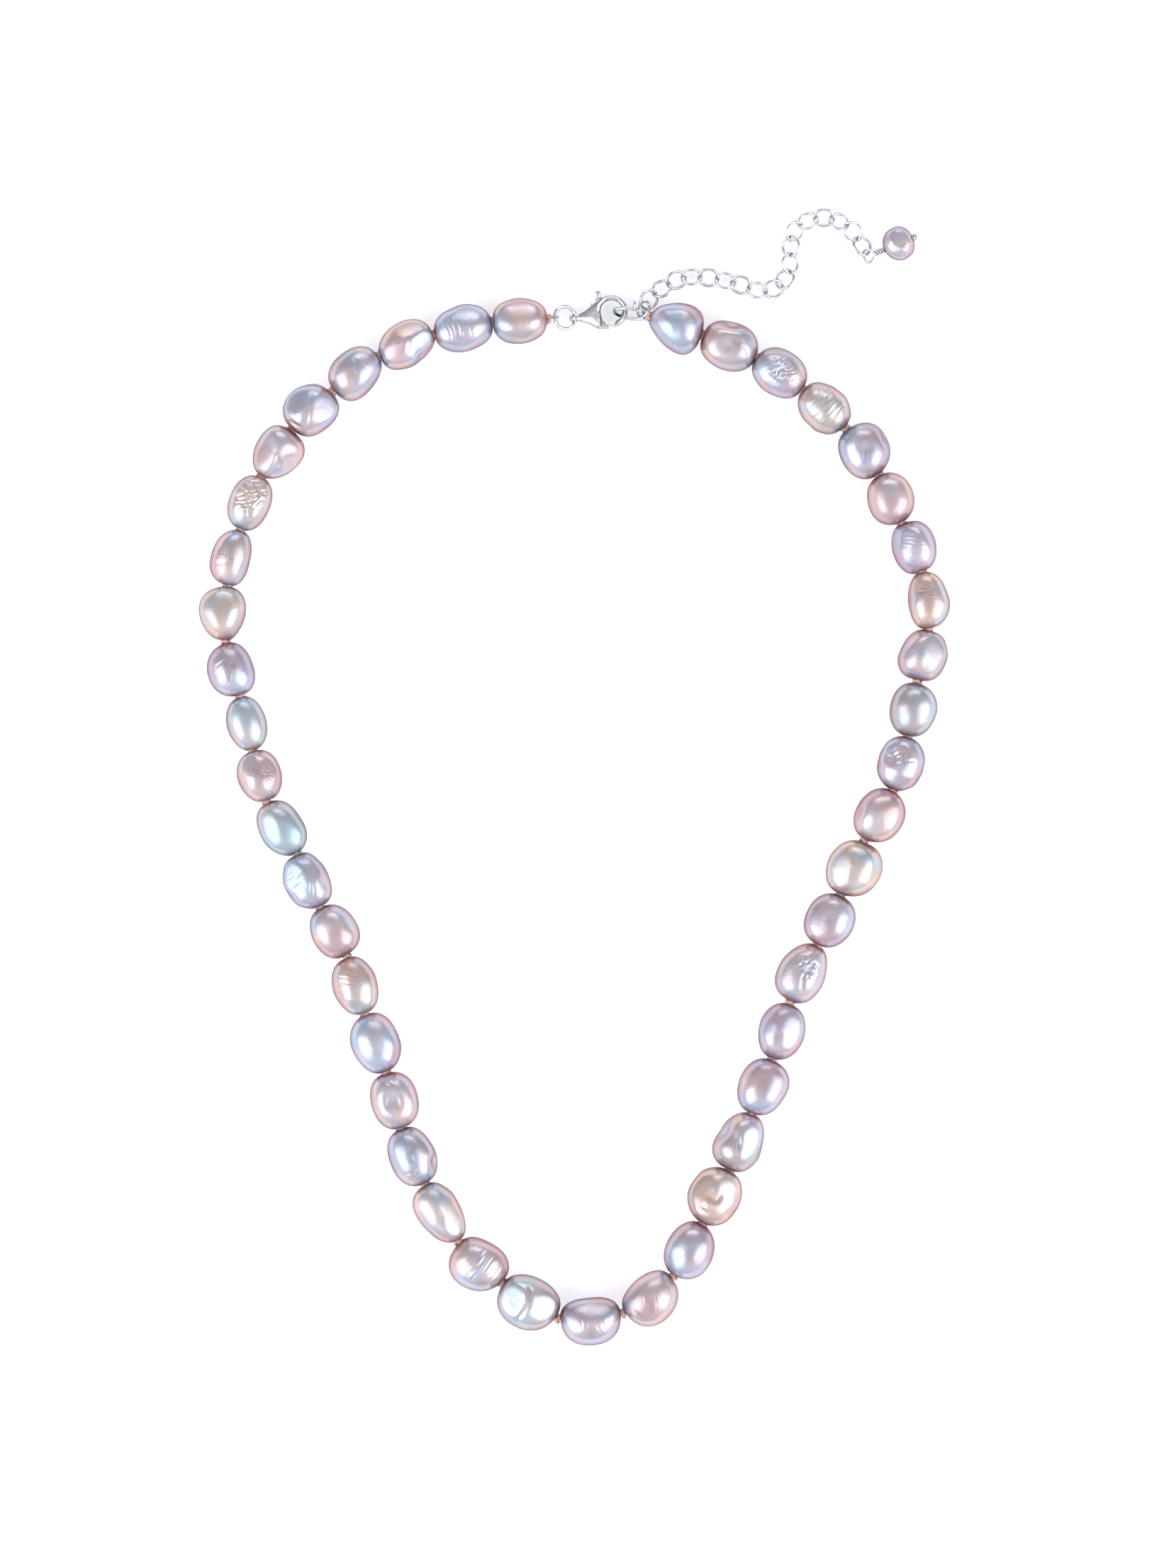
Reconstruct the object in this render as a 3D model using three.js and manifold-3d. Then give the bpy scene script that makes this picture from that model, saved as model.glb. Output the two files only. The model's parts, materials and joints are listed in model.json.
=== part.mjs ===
// A baroque pearl necklace lying flat: one strand of drilled pearls on silk, a lobster claw clasp
// closed on an oval tail ring, and an extender chain with a small pearl drop.
// Millimetres, +Z up, +Y towards the clasp, origin under the middle of the footprint.

import * as THREE from 'three';
import { mergeVertices } from 'three/addons/utils/BufferGeometryUtils.js';
import Module from 'manifold-3d';

const wasm = await Module();
wasm.setup();

// ---- driving dimensions ----

const threadHeight = 3.85;   // of the drill holes above the surface
const threadRadius = 0.22;
const boreRadius = 0.55;
const knotGap = 0.5;         // between two neighbouring pearls, for the knot
const usualHeight = 7.7;     // a pearl's height is half its own width, half this
const restGap = 0.01;        // keeps a settled pearl from dipping below the surface
const pearlSides = 12;
const pearlRings = 6;
const endRing = 76;          // degrees from a pearl's waist to its last ring at either end
const girthRound = 0.92;     // below 1 makes a pearl fuller than an ellipsoid, across and along
const lengthRound = 0.95;

// knots along the thread, from the clasp's side down round the front and back up: x, y
const knots = [
  [-4.2, 77.4], [-13.8, 76.9], [-23.7, 74.7], [-33.0, 71.1], [-40.8, 65.1], [-47.7, 58.7],
  [-52.9, 50.7], [-56.4, 41.7], [-58.6, 32.2], [-59.0, 22.8], [-56.4, 13.6], [-54.4, 4.3],
  [-52.0, -4.3], [-46.9, -13.1], [-42.9, -22.1], [-38.4, -30.5], [-35.4, -40.2], [-31.8, -50.1],
  [-29.4, -59.6], [-25.2, -69.0], [-19.6, -78.7], [-12.1, -85.7], [-2.7, -91.8],
  [8.4, -90.9], [16.8, -84.7], [21.8, -75.7], [26.4, -66.7], [30.1, -57.1], [33.6, -47.9],
  [36.5, -38.3], [41.3, -28.6], [45.1, -20.0], [49.2, -10.9], [54.0, -2.4], [56.6, 6.7],
  [58.1, 16.0], [60.0, 24.9], [58.9, 34.6], [55.5, 42.9], [51.6, 51.0], [46.1, 58.9],
  [38.7, 65.4], [30.9, 70.9], [21.8, 74.7], [12.65, 77.9],
];

// pearls in the same order: width, shift towards the neck, swelling on the side away from the
// front pearl, and colour
const pearls = [
  [7.7, 0.1, 0, 'rose'], [7.8, 0, 0, 'lavender'], [7.7, -0.2, 0, 'rose'],
  [7.9, -0.2, 0, 'lavender'], [8.7, -0.3, 0, 'lavender'], [7.9, 0.2, 0.22, 'rose'],
  [7.1, -0.3, 0, 'cream'], [6.7, -0.6, 0, 'rose'], [7.9, -0.8, 0.15, 'cream'],
  [7.9, -0.4, 0, 'lavender'], [6.7, 0, 0, 'mint'], [7.5, 0.1, 0, 'rose'],
  [7.6, 0, 0, 'mint'], [7.6, -0.4, 0, 'lavender'], [8.0, 0.2, -0.1, 'rose'],
  [7.5, -0.2, 0, 'cream'], [8.2, 0.1, 0, 'lavender'], [8.2, 0.2, 0, 'rose'],
  [8.1, 0, 0, 'lavender'], [7.3, -0.4, 0.22, 'cream'], [8.9, -0.6, 0, 'rose'],
  [9.1, -0.5, 0, 'mint'],
  [8.3, -0.9, 0, 'lavender'],
  [8.4, -0.9, 0, 'rose'], [8.2, -0.3, 0, 'lavender'], [8.9, 0.4, 0, 'cream'],
  [8.1, 0.3, -0.12, 'rose'], [8.3, -0.2, 0, 'lavender'], [7.8, -0.2, 0, 'lavender'],
  [7.9, 0.4, -0.2, 'rose'], [8.4, -0.1, 0, 'lavender'], [9.0, -0.3, 0, 'cream'],
  [8.3, -0.1, 0, 'rose'], [7.9, -0.1, 0, 'lavender'], [8.0, -0.1, 0, 'mint'],
  [8.2, -0.1, 0, 'rose'], [6.9, -0.6, 0, 'cream'], [7.6, -0.5, 0, 'lavender'],
  [8.0, -0.1, 0, 'rose'], [8.7, -0.5, 0, 'lavender'], [7.8, -0.1, 0, 'cream'],
  [7.9, -0.2, 0, 'lavender'], [8.4, -0.1, 0, 'rose'], [8.0, 0.1, -0.36, 'lavender'],
];
const frontPearl = 22;       // the pearl at the bottom of the loop, counted from the clasp

const jumpRing = { at: [-1.5, 77.8, 2.2], radius: 1.9, wire: 0.32, tilt: 25 };
const loopRadius = 0.72;     // the thread's end loops
const loopWire = 0.2;
const leftLoopOff = [-0.1, 0, 0.03];   // from the ring's wire to the middle of the loop round it
const rightLoopOff = [0.1, 0, 0];
const leftLead = [-0.51, 0, 0.51];     // from each loop's middle to where the thread joins it
const rightLead = [0.66, -0.1, 0.15];
const rightDip = [0.07, 0.05, -0.85];  // from the last knot to where the thread turns down

const clasp = { at: [0.5, 77.8], thick: 2.8, bevel: 0.3 };
const eye = { radius: 0.92, wire: 0.3, off: -0.15 };
const armLow = 0.9;          // underside of the hook arm and the lever
const armThick = 1.0;
const slotGap = 0.12;        // above and below the lever
const pivot = [3.1, 0.9];    // of the lever, in the clasp's own plan
const gateReach = 3.63;      // from the pivot to the end of the gate
const noseGap = 0.15;
const rivetRadius = 0.4;
const rivetFit = 0.05;       // of the rivet in the body; its ends stop as far below the faces
const leverFit = 0.1;        // of the lever on the rivet
const hookCentre = [5.9, 1.2];
const hookOuter = 2.75;
const hookInner = 1.85;
const hookBevel = 0.2;
const leverBevel = 0.12;
const hookTop = 128;         // degrees round the hook's centre where the arm leaves the shell
const hookTip = -96;
const gateFrom = -46;        // degrees round the pivot of the gate's rounded end
const gateTo = -35;

// plan outlines in the clasp's own frame, which has its eye at the origin and its nose along +X
const shellOutline = [
  [0.1, -0.5], [0.9, -0.72], [2.2, -1.15], [3.5, -1.75], [4.3, -1.75], [4.3, -0.3], [4.35, 1.4],
  [4.9, 2.5], [5.6, 2.95], [5.4, 3.9], [4.2, 3.45], [2.6, 2.3], [1.2, 1.15], [0.1, 0.5],
];
const slotOutline = [
  [1.5, -0.5], [3.0, -2.4], [6.4, -2.4], [6.4, 1.6], [4.4, 1.6], [4.45, 5.0], [0.6, 5.0],
  [1.5, 1.2],
];
const leverBeforeGate = [[2.35, 0.3], [2.9, -0.35], [3.75, -1.5], [4.8, -1.85], [5.55, -1.82]];
const leverAfterGate = [
  [4.95, -0.95], [4.4, -0.35], [4.1, 0.9], [3.95, 2.2], [4.1, 4.3], [3.85, 4.65], [3.35, 4.65],
  [3.1, 4.3], [2.95, 2.4], [2.3, 1.5],
];
const springOutline = [
  [1.62, 0.0], [1.8, 0.0], [1.9, 1.1], [2.72, 2.42], [2.6, 2.55], [1.72, 1.15],
];
const springInset = 0.1;     // of the leaf from both faces of the lever's room

const tailRing = { at: [9.6, 78.55, 1.78], long: 2.75, short: 1.6, wire: 0.3, turn: -8, tilt: 65 };
const chainRing = { radius: 1.35, wire: 0.25, onTail: 35 };   // degrees round the tail ring

// the extender chain's middle line, from the chain ring to the drop
const chainRoute = [
  [11.8, 79.95, 2.0], [14.2, 82.3, 1.5], [17.8, 84.6, 1.3], [20.7, 84.9, 1.3], [26.5, 84.1, 1.3],
  [31.9, 82.3, 1.3], [34.1, 82.6, 1.3], [36.0, 84.2, 1.3], [36.9, 86.8, 1.3], [36.8, 89.6, 1.3],
  [37.0, 92.1, 1.3], [38.6, 93.9, 1.3], [40.8, 94.9, 1.3], [43.8, 94.8, 1.3], [46.3, 93.7, 1.3],
  [48.0, 91.5, 1.3], [50.0, 88.5, 1.3],
];
const linksInSection = 3;
const sections = 6;
const link = { long: 3.85, wide: 3.3, wire: 0.25, tilt: 40 };
const joinedReach = 0.44;    // between the wires' middles where two links of one section touch
const freeReach = 0.66;      // and where one section hangs in the next

const drop = { turn: 21, rise: 17, long: 5.2, width: 5.7, flat: 0.95, swell: 0.05, slack: 0.2 };
const headpin = {
  wire: 0.22, loop: 1.05, stem: 1.9, ball: 0.55, past: 0.5,
  open: 22, steps: 12,         // degrees left open each side of the loop, and its pieces
  wraps: { radius: 0.5, from: 0.6, long: 1.3 },
};

// ---- materials ----

const nacre = { lavender: 0xc4bcc9, rose: 0xcdb9bd, cream: 0xdccbc2, mint: 0xc3cfcb };

function pearlMaterial(tint) {
  return new THREE.MeshStandardMaterial({ color: nacre[tint], roughness: 0.25, metalness: 0.1 });
}

function silver() {
  return new THREE.MeshStandardMaterial({ color: 0xdfe3e6, roughness: 0.12, metalness: 1 });
}

function steel() {
  return new THREE.MeshStandardMaterial({ color: 0x9a9da0, roughness: 0.3, metalness: 1 });
}

function silk() {
  return new THREE.MeshStandardMaterial({ color: 0xe3c3b8, roughness: 0.8, metalness: 0 });
}

// ---- helpers ----

function solidOf(geometry) {
  geometry.deleteAttribute('normal');
  geometry.deleteAttribute('uv');
  const merged = mergeVertices(geometry, 1e-5);
  return new wasm.Manifold(new wasm.Mesh({
    numProp: 3,
    vertProperties: new Float32Array(merged.attributes.position.array),
    triVerts: new Uint32Array(merged.index.array),
  }));
}

function geometryOf(solid) {
  const mesh = solid.getMesh();
  const geometry = new THREE.BufferGeometry();
  geometry.setAttribute('position', new THREE.BufferAttribute(mesh.vertProperties, 3));
  geometry.setIndex(new THREE.BufferAttribute(mesh.triVerts, 1));
  return geometry;
}

function part(name, geometry, material) {
  const mesh = new THREE.Mesh(geometry, material);
  mesh.name = name;
  return mesh;
}

function polygon(points) {
  return new THREE.Shape(points.map(([x, y]) => new THREE.Vector2(x, y)));
}

// a plan outline between two heights, with its edges bevelled inwards
function plate(shape, low, thick, bevel = 0) {
  const geometry = new THREE.ExtrudeGeometry(shape, {
    depth: thick - 2 * bevel,
    bevelEnabled: bevel > 0,
    bevelThickness: bevel,
    bevelSize: bevel,
    bevelOffset: -bevel,
    bevelSegments: 1,
    curveSegments: 6,
  });
  return geometry.translate(0, 0, low + bevel);
}

function upright(radius, low, high, sides = 12) {
  const geometry = new THREE.CylinderGeometry(radius, radius, high - low, sides);
  return geometry.rotateX(Math.PI / 2).translate(0, 0, (low + high) / 2);
}

// a path whose every given point carries one section of the wire swept along it
class WirePath extends THREE.Curve {
  constructor(points) {
    super();
    this.points = points;
  }

  getPoint(t, target = new THREE.Vector3()) {
    const at = t * (this.points.length - 1);
    const n = Math.min(Math.floor(at), this.points.length - 2);
    return target.lerpVectors(this.points[n], this.points[n + 1], at - n);
  }

  getPointAt(t, target) {
    return this.getPoint(t, target);
  }

  getTangentAt(t, target = new THREE.Vector3()) {
    const last = this.points.length - 1;
    const n = Math.round(t * last);
    const before = this.points[Math.max(n - 1, 0)];
    const after = this.points[Math.min(n + 1, last)];
    return target.subVectors(after, before).normalize();
  }
}

function wire(points, radius, sides = 8) {
  const section = new THREE.Shape().absarc(0, 0, radius, 0, 2 * Math.PI);
  return new THREE.ExtrudeGeometry(section, {
    steps: points.length - 1,
    curveSegments: sides / 2,
    extrudePath: new WirePath(points),
    bevelEnabled: false,
  });
}

// an oval ring of round wire in the XY plane: radii are to the middle of the wire
function ring(radiusX, radiusY, wireRadius, around = 20, sides = 6) {
  const geometry = new THREE.TorusGeometry(1, wireRadius, sides, around);
  const position = geometry.attributes.position;
  const point = new THREE.Vector3();
  for (let i = 0; i < position.count; i += 1) {
    point.fromBufferAttribute(position, i);
    const out = Math.hypot(point.x, point.y);
    const turn = Math.atan2(point.y, point.x);
    position.setX(i, (radiusX + out - 1) * Math.cos(turn));
    position.setY(i, (radiusY + out - 1) * Math.sin(turn));
  }
  return geometry;
}

function basis(x, y) {
  const z = new THREE.Vector3().crossVectors(x, y).normalize();
  return new THREE.Matrix4().makeBasis(x.clone().normalize(), new THREE.Vector3()
    .crossVectors(z, x).normalize(), z);
}

// ---- pearls ----

// a drilled pearl along X from 0 to its full pitch, half a knot gap clear at each end
function pearlGeometry(pitch, width, height, shift, lift, swell) {
  const half = (pitch - knotGap) / 2;
  const profile = [new THREE.Vector2(boreRadius, -half)];
  for (let k = 0; k < pearlRings; k += 1) {
    const angle = THREE.MathUtils.degToRad(endRing * ((2 * k) / (pearlRings - 1) - 1));
    const out = (width / 2) * Math.cos(angle) ** girthRound;
    const along = half * Math.sign(angle) * Math.abs(Math.sin(angle)) ** lengthRound;
    profile.push(new THREE.Vector2(out, along));
  }
  profile.push(new THREE.Vector2(boreRadius, half));
  profile.push(profile[0].clone());
  const geometry = new THREE.LatheGeometry(profile, pearlSides);
  geometry.rotateZ(-Math.PI / 2);
  const position = geometry.attributes.position;
  for (let i = 0; i < position.count; i += 1) {
    const along = position.getX(i) / half;
    const y = position.getY(i);
    const z = position.getZ(i);
    const skin = Math.hypot(y, z) > boreRadius + restGap ? 1 : 0;
    const middle = Math.sqrt(Math.max(1 - along * along, 0)) * skin;
    const swelling = 1 + swell * along * skin;
    const squat = 1 + (height / width - 1) * skin;
    position.setX(i, position.getX(i) + pitch / 2);
    position.setY(i, y * swelling + shift * middle);
    position.setZ(i, z * squat * (1 + (swelling - 1) / 2) + lift * middle);
  }
  return geometry;
}

function strandPearl(n) {
  const [width, shift, swell, tint] = pearls[n];
  const left = n < frontPearl;
  const from = new THREE.Vector2(...knots[left ? n + 1 : n]);
  const to = new THREE.Vector2(...knots[left ? n : n + 1]);
  const along = to.clone().sub(from);
  const height = (width + usualHeight) / 2;
  const side = left ? -1 : 1;
  const geometry = pearlGeometry(along.length(), width, height, shift * side, 0, swell);
  geometry.computeBoundingBox();
  const sunk = geometry.boundingBox.min.z + threadHeight;
  const settled = pearlGeometry(along.length(), width, height, shift * side, restGap - sunk, swell);
  const count = left ? n + 1 : pearls.length - n;
  const name = n === frontPearl ? 'pearl_centre'
    : `pearl_${left ? 'left' : 'right'}_${String(count).padStart(2, '0')}`;
  const pearl = part(name, settled, pearlMaterial(tint));
  pearl.position.set(from.x, from.y, threadHeight);
  pearl.rotation.z = along.angle();
  return pearl;
}

// ---- thread ----

function ringFrame() {
  const tilt = new THREE.Matrix4().makeRotationY(THREE.MathUtils.degToRad(jumpRing.tilt));
  return tilt.setPosition(...jumpRing.at);
}

function tailFrame() {
  const turn = new THREE.Matrix4().makeRotationZ(THREE.MathUtils.degToRad(tailRing.turn));
  const tilt = new THREE.Matrix4().makeRotationX(THREE.MathUtils.degToRad(tailRing.tilt));
  return turn.multiply(tilt).setPosition(...tailRing.at);
}

function silkThread() {
  const last = new THREE.Vector3(...knots[knots.length - 1], threadHeight);
  const leftWire = new THREE.Vector3(-jumpRing.radius, 0, 0).applyMatrix4(ringFrame());
  const rightWire = new THREE.Vector3(tailRing.long, 0, 0).applyMatrix4(tailFrame());
  const leftLoop = leftWire.add(new THREE.Vector3(...leftLoopOff));
  const rightLoop = rightWire.add(new THREE.Vector3(...rightLoopOff));
  const points = [
    leftLoop.clone().add(new THREE.Vector3(...leftLead)),
    ...knots.map(([x, y]) => new THREE.Vector3(x, y, threadHeight)),
    last.add(new THREE.Vector3(...rightDip)),
    rightLoop.clone().add(new THREE.Vector3(...rightLead)),
  ];
  const left = ring(loopRadius, loopRadius, loopWire, 16).rotateX(Math.PI / 2);
  left.translate(leftLoop.x, leftLoop.y, leftLoop.z);
  const right = ring(loopRadius, loopRadius, loopWire, 16);
  right.applyMatrix4(tailLoopTurn()).translate(rightLoop.x, rightLoop.y, rightLoop.z);
  const thread = solidOf(wire(points, threadRadius)).add(solidOf(left)).add(solidOf(right));
  return part('silk_thread', geometryOf(thread), silk());
}

// turns a flat ring square to the tail ring's wire at its right end
function tailLoopTurn() {
  const frame = new THREE.Matrix4().extractRotation(tailFrame());
  const alongRing = new THREE.Vector3(1, 0, 0).applyMatrix4(frame);
  const alongWire = new THREE.Vector3(0, 1, 0).applyMatrix4(frame);
  return basis(alongRing, new THREE.Vector3().crossVectors(alongWire, alongRing));
}

// ---- rings ----

function leftRing() {
  const geometry = ring(jumpRing.radius, jumpRing.radius, jumpRing.wire, 24);
  return part('jump_ring', geometry.applyMatrix4(ringFrame()), silver());
}

function ovalTailRing() {
  const geometry = ring(tailRing.long, tailRing.short, tailRing.wire, 28);
  return part('tail_ring', geometry.applyMatrix4(tailFrame()), silver());
}

// hangs on the tail ring's upper side and carries the chain's first link
function smallChainRing() {
  const at = THREE.MathUtils.degToRad(chainRing.onTail);
  const tail = tailFrame();
  const turned = new THREE.Matrix4().extractRotation(tail);
  const onTail = new THREE.Vector3(tailRing.long * Math.cos(at), tailRing.short * Math.sin(at), 0);
  onTail.applyMatrix4(tail);
  const wireWay = new THREE.Vector3(-tailRing.long * Math.sin(at), tailRing.short * Math.cos(at), 0);
  wireWay.applyMatrix4(turned).normalize();
  const onChain = new THREE.Vector3(...chainRoute[0]);
  const across = onChain.clone().sub(onTail).normalize();
  const frame = basis(across, new THREE.Vector3().crossVectors(wireWay, across));
  const middle = onTail.add(onChain).multiplyScalar(0.5);
  const geometry = ring(chainRing.radius, chainRing.radius, chainRing.wire, 18);
  geometry.applyMatrix4(frame.setPosition(middle));
  return part('chain_ring', geometry, silver());
}

// ---- clasp ----

function around([x, y], radius, from, to, steps) {
  const points = [];
  for (let k = 0; k <= steps; k += 1) {
    const angle = THREE.MathUtils.degToRad(from + ((to - from) * k) / steps);
    points.push([x + radius * Math.cos(angle), y + radius * Math.sin(angle)]);
  }
  return points;
}

// cuts right through the clasp at the lever's pivot
function pivotHole(radius) {
  return solidOf(upright(radius, -1, clasp.thick + 1).translate(...pivot, 0));
}

function claspBody() {
  const hook = polygon([
    ...around(hookCentre, hookOuter, hookTop, hookTip, 20),
    ...around(hookCentre, hookInner, hookTip, hookTop, 16),
  ]);
  const eyelet = ring(eye.radius, eye.radius, eye.wire, 14).rotateX(Math.PI / 2);
  eyelet.translate(eye.off, 0, clasp.thick / 2);
  const slotLow = armLow - slotGap;
  const slotThick = armThick + 2 * slotGap;
  const slot = solidOf(plate(polygon(slotOutline), slotLow, slotThick));
  const gateSweep = solidOf(
    upright(gateReach + noseGap, slotLow, slotLow + slotThick, 48).translate(...pivot, 0),
  );
  const body = solidOf(plate(polygon(shellOutline), 0, clasp.thick, clasp.bevel))
    .subtract(slot)
    .add(solidOf(plate(hook, armLow, armThick, hookBevel)))
    .subtract(gateSweep.intersect(slot))
    .subtract(pivotHole(rivetRadius + rivetFit))
    .add(solidOf(eyelet));
  return part('clasp_body', geometryOf(body), silver());
}

function claspLever() {
  const gateEnd = around(pivot, gateReach, gateFrom, gateTo, 2);
  const outline = polygon([...leverBeforeGate, ...gateEnd, ...leverAfterGate]);
  const lever = solidOf(plate(outline, armLow, armThick, leverBevel))
    .subtract(pivotHole(rivetRadius + leverFit));
  return part('clasp_lever', geometryOf(lever), silver());
}

function claspRivet() {
  const rivet = upright(rivetRadius, rivetFit, clasp.thick - rivetFit).translate(...pivot, 0);
  return part('clasp_rivet', rivet, silver());
}

// a bent leaf between the neck of the clasp and the lever's thumb side
function claspSpring() {
  const leaf = plate(polygon(springOutline), armLow + springInset, armThick - 2 * springInset);
  return part('clasp_spring', leaf, steel());
}

// ---- chain and drop ----

// places along the route, each a given straight step from the one before
function walk(route, steps) {
  const curve = new THREE.CatmullRomCurve3(route.map((p) => new THREE.Vector3(...p)), false);
  const samples = curve.getSpacedPoints(4000);
  const places = [samples[0]];
  let next = 1;
  for (const step of steps) {
    const last = places[places.length - 1];
    while (samples[next].distanceTo(last) < step) {
      next += 1;
    }
    places.push(samples[next]);
  }
  return places;
}

function reachBefore(n) {
  return n % linksInSection === 0 ? freeReach : joinedReach;
}

// where each link meets the one before it, and last where the drop hangs
function chainPlaces() {
  const steps = [];
  for (let n = 0; n < sections * linksInSection; n += 1) {
    steps.push(link.long - 2 * link.wire - (reachBefore(n) + reachBefore(n + 1)) / 2);
  }
  return walk(chainRoute, steps);
}

function linkFrame(from, to, n) {
  const along = to.clone().sub(from).normalize();
  const level = new THREE.Vector3(-along.y, along.x, 0).normalize();
  const tilt = THREE.MathUtils.degToRad(n % 2 === 0 ? link.tilt : -link.tilt);
  const across = level.applyAxisAngle(along, tilt);
  const half = link.long / 2 - link.wire;
  return basis(along, across)
    .setPosition(from.clone().addScaledVector(along, half - reachBefore(n) / 2));
}

// each section is three links in a row, placed where it hangs in the one before
function chainSections() {
  const places = chainPlaces();
  const made = [];
  for (let s = 0; s < sections; s += 1) {
    let solid = null;
    for (let k = 0; k < linksInSection; k += 1) {
      const n = s * linksInSection + k;
      const one = ring(link.long / 2 - link.wire, link.wide / 2 - link.wire, link.wire, 14, 6);
      one.applyMatrix4(linkFrame(places[n], places[n + 1], n));
      solid = solid ? solid.add(solidOf(one)) : solidOf(one);
    }
    const hung = places[s * linksInSection];
    const geometry = geometryOf(solid).translate(-hung.x, -hung.y, -hung.z);
    const section = part(`chain_section_${s + 1}`, geometry, silver());
    section.position.copy(hung);
    made.push(section);
  }
  return made;
}

// the loop hangs in the last link; the pin runs on through the pearl to a small ball
function dropGroup() {
  const places = chainPlaces();
  const end = places[places.length - 1];
  const group = new THREE.Group();
  const way = end.clone().sub(places[places.length - 2]).normalize();
  const hung = link.wire + headpin.wire + drop.slack;
  group.position.copy(end.clone().addScaledVector(way, freeReach / 2 + headpin.loop - hung));
  group.rotation.order = 'ZYX';
  group.rotation.z = THREE.MathUtils.degToRad(drop.turn);
  group.rotation.y = -THREE.MathUtils.degToRad(drop.rise);
  const start = headpin.loop + headpin.stem;
  const reach = start + drop.long + headpin.past;
  const points = around([0, 0], headpin.loop, headpin.open, 360 - headpin.open, headpin.steps)
    .map(([x, y]) => new THREE.Vector3(x, y, 0));
  points.push(new THREE.Vector3(headpin.loop + headpin.past, 0, 0), new THREE.Vector3(reach, 0, 0));
  const coil = headpin.wraps;
  const wraps = new THREE.CylinderGeometry(coil.radius, coil.radius, coil.long, 10);
  wraps.rotateZ(Math.PI / 2).translate(headpin.loop + coil.from + coil.long / 2, 0, 0);
  const ball = new THREE.SphereGeometry(headpin.ball, 8, 6).translate(reach, 0, 0);
  const pin = solidOf(wire(points, headpin.wire, 6)).add(solidOf(wraps)).add(solidOf(ball));
  group.add(part('drop_headpin', geometryOf(pin), silver()));
  const height = drop.width * drop.flat;
  const pearl = pearlGeometry(drop.long + knotGap, drop.width, height, 0, 0, drop.swell);
  pearl.translate(start - knotGap / 2, 0, 0);
  group.add(part('drop_pearl', pearl, pearlMaterial('lavender')));
  return group;
}

// ---- assembly ----

const group = new THREE.Group();
for (let n = 0; n < pearls.length; n += 1) {
  group.add(strandPearl(n));
}
group.add(silkThread(), leftRing(), ovalTailRing(), smallChainRing());

const claw = new THREE.Group();
claw.position.set(...clasp.at, 0);
claw.add(claspBody(), claspLever(), claspRivet(), claspSpring());
group.add(claw, ...chainSections(), dropGroup());

group.updateMatrixWorld(true);
const footprint = new THREE.Box3().setFromObject(group, true);
const middle = footprint.getCenter(new THREE.Vector3());
group.position.set(-middle.x, -middle.y, 0);

export default group;
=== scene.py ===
"""Freshwater pearl necklace: 44 baroque pearls knotted on silk, claw clasp, link chain and drop.

Lengths are in millimetres until build() makes them metres. X is right and Y is up as worn
laid flat, and Z is up from the surface that it lies on.
"""

import json
import math

import bpy
import numpy as np
from mathutils import Matrix, Vector
from mathutils.kdtree import KDTree


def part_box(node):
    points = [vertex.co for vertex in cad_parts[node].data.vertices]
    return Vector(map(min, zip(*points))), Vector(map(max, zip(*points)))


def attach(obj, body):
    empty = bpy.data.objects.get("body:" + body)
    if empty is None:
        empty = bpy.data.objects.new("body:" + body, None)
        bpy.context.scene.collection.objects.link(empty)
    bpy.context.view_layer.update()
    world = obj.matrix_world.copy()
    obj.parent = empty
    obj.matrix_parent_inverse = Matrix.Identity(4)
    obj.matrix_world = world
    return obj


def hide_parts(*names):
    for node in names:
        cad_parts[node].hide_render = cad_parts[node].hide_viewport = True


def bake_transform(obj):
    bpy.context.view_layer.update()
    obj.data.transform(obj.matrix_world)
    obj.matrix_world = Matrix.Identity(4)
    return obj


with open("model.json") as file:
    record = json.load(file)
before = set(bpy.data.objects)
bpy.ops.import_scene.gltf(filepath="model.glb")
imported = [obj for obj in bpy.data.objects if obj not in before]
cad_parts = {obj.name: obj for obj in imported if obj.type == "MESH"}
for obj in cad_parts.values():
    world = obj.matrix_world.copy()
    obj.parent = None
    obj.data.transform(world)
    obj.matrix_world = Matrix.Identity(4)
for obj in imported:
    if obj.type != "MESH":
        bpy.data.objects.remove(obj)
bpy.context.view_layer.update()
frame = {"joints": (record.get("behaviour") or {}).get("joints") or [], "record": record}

MM = 0.001

# ---- places and sizes, as in the CAD but for the links, which are drawn wider and flatter ----

THREAD_Z = 3.85
KNOTS = [
    (-4.2, 77.4), (-13.8, 76.9), (-23.7, 74.7), (-33.0, 71.1), (-40.8, 65.1), (-47.7, 58.7),
    (-52.9, 50.7), (-56.4, 41.7), (-58.6, 32.2), (-59.0, 22.8), (-56.4, 13.6), (-54.4, 4.3),
    (-52.0, -4.3), (-46.9, -13.1), (-42.9, -22.1), (-38.4, -30.5), (-35.4, -40.2), (-31.8, -50.1),
    (-29.4, -59.6), (-25.2, -69.0), (-19.6, -78.7), (-12.1, -85.7), (-2.7, -91.8), (8.4, -90.9),
    (16.8, -84.7), (21.8, -75.7), (26.4, -66.7), (30.1, -57.1), (33.6, -47.9), (36.5, -38.3),
    (41.3, -28.6), (45.1, -20.0), (49.2, -10.9), (54.0, -2.4), (56.6, 6.7), (58.1, 16.0),
    (60.0, 24.9), (58.9, 34.6), (55.5, 42.9), (51.6, 51.0), (46.1, 58.9), (38.7, 65.4),
    (30.9, 70.9), (21.8, 74.7), (12.65, 77.9),
]
FRONT = 22
COUNT = len(KNOTS) - 1
JUMP_AT, JUMP_RADIUS, JUMP_WIRE, JUMP_TILT = (-1.5, 77.8, 2.2), 1.9, 0.32, 25
TAIL_AT, TAIL_LONG, TAIL_SHORT, TAIL_WIRE = (9.6, 78.55, 1.78), 2.75, 1.6, 0.3
TAIL_TURN, TAIL_TILT = -8, 65
CHAIN_RING_RADIUS, CHAIN_RING_WIRE = 1.35, 0.25
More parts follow.
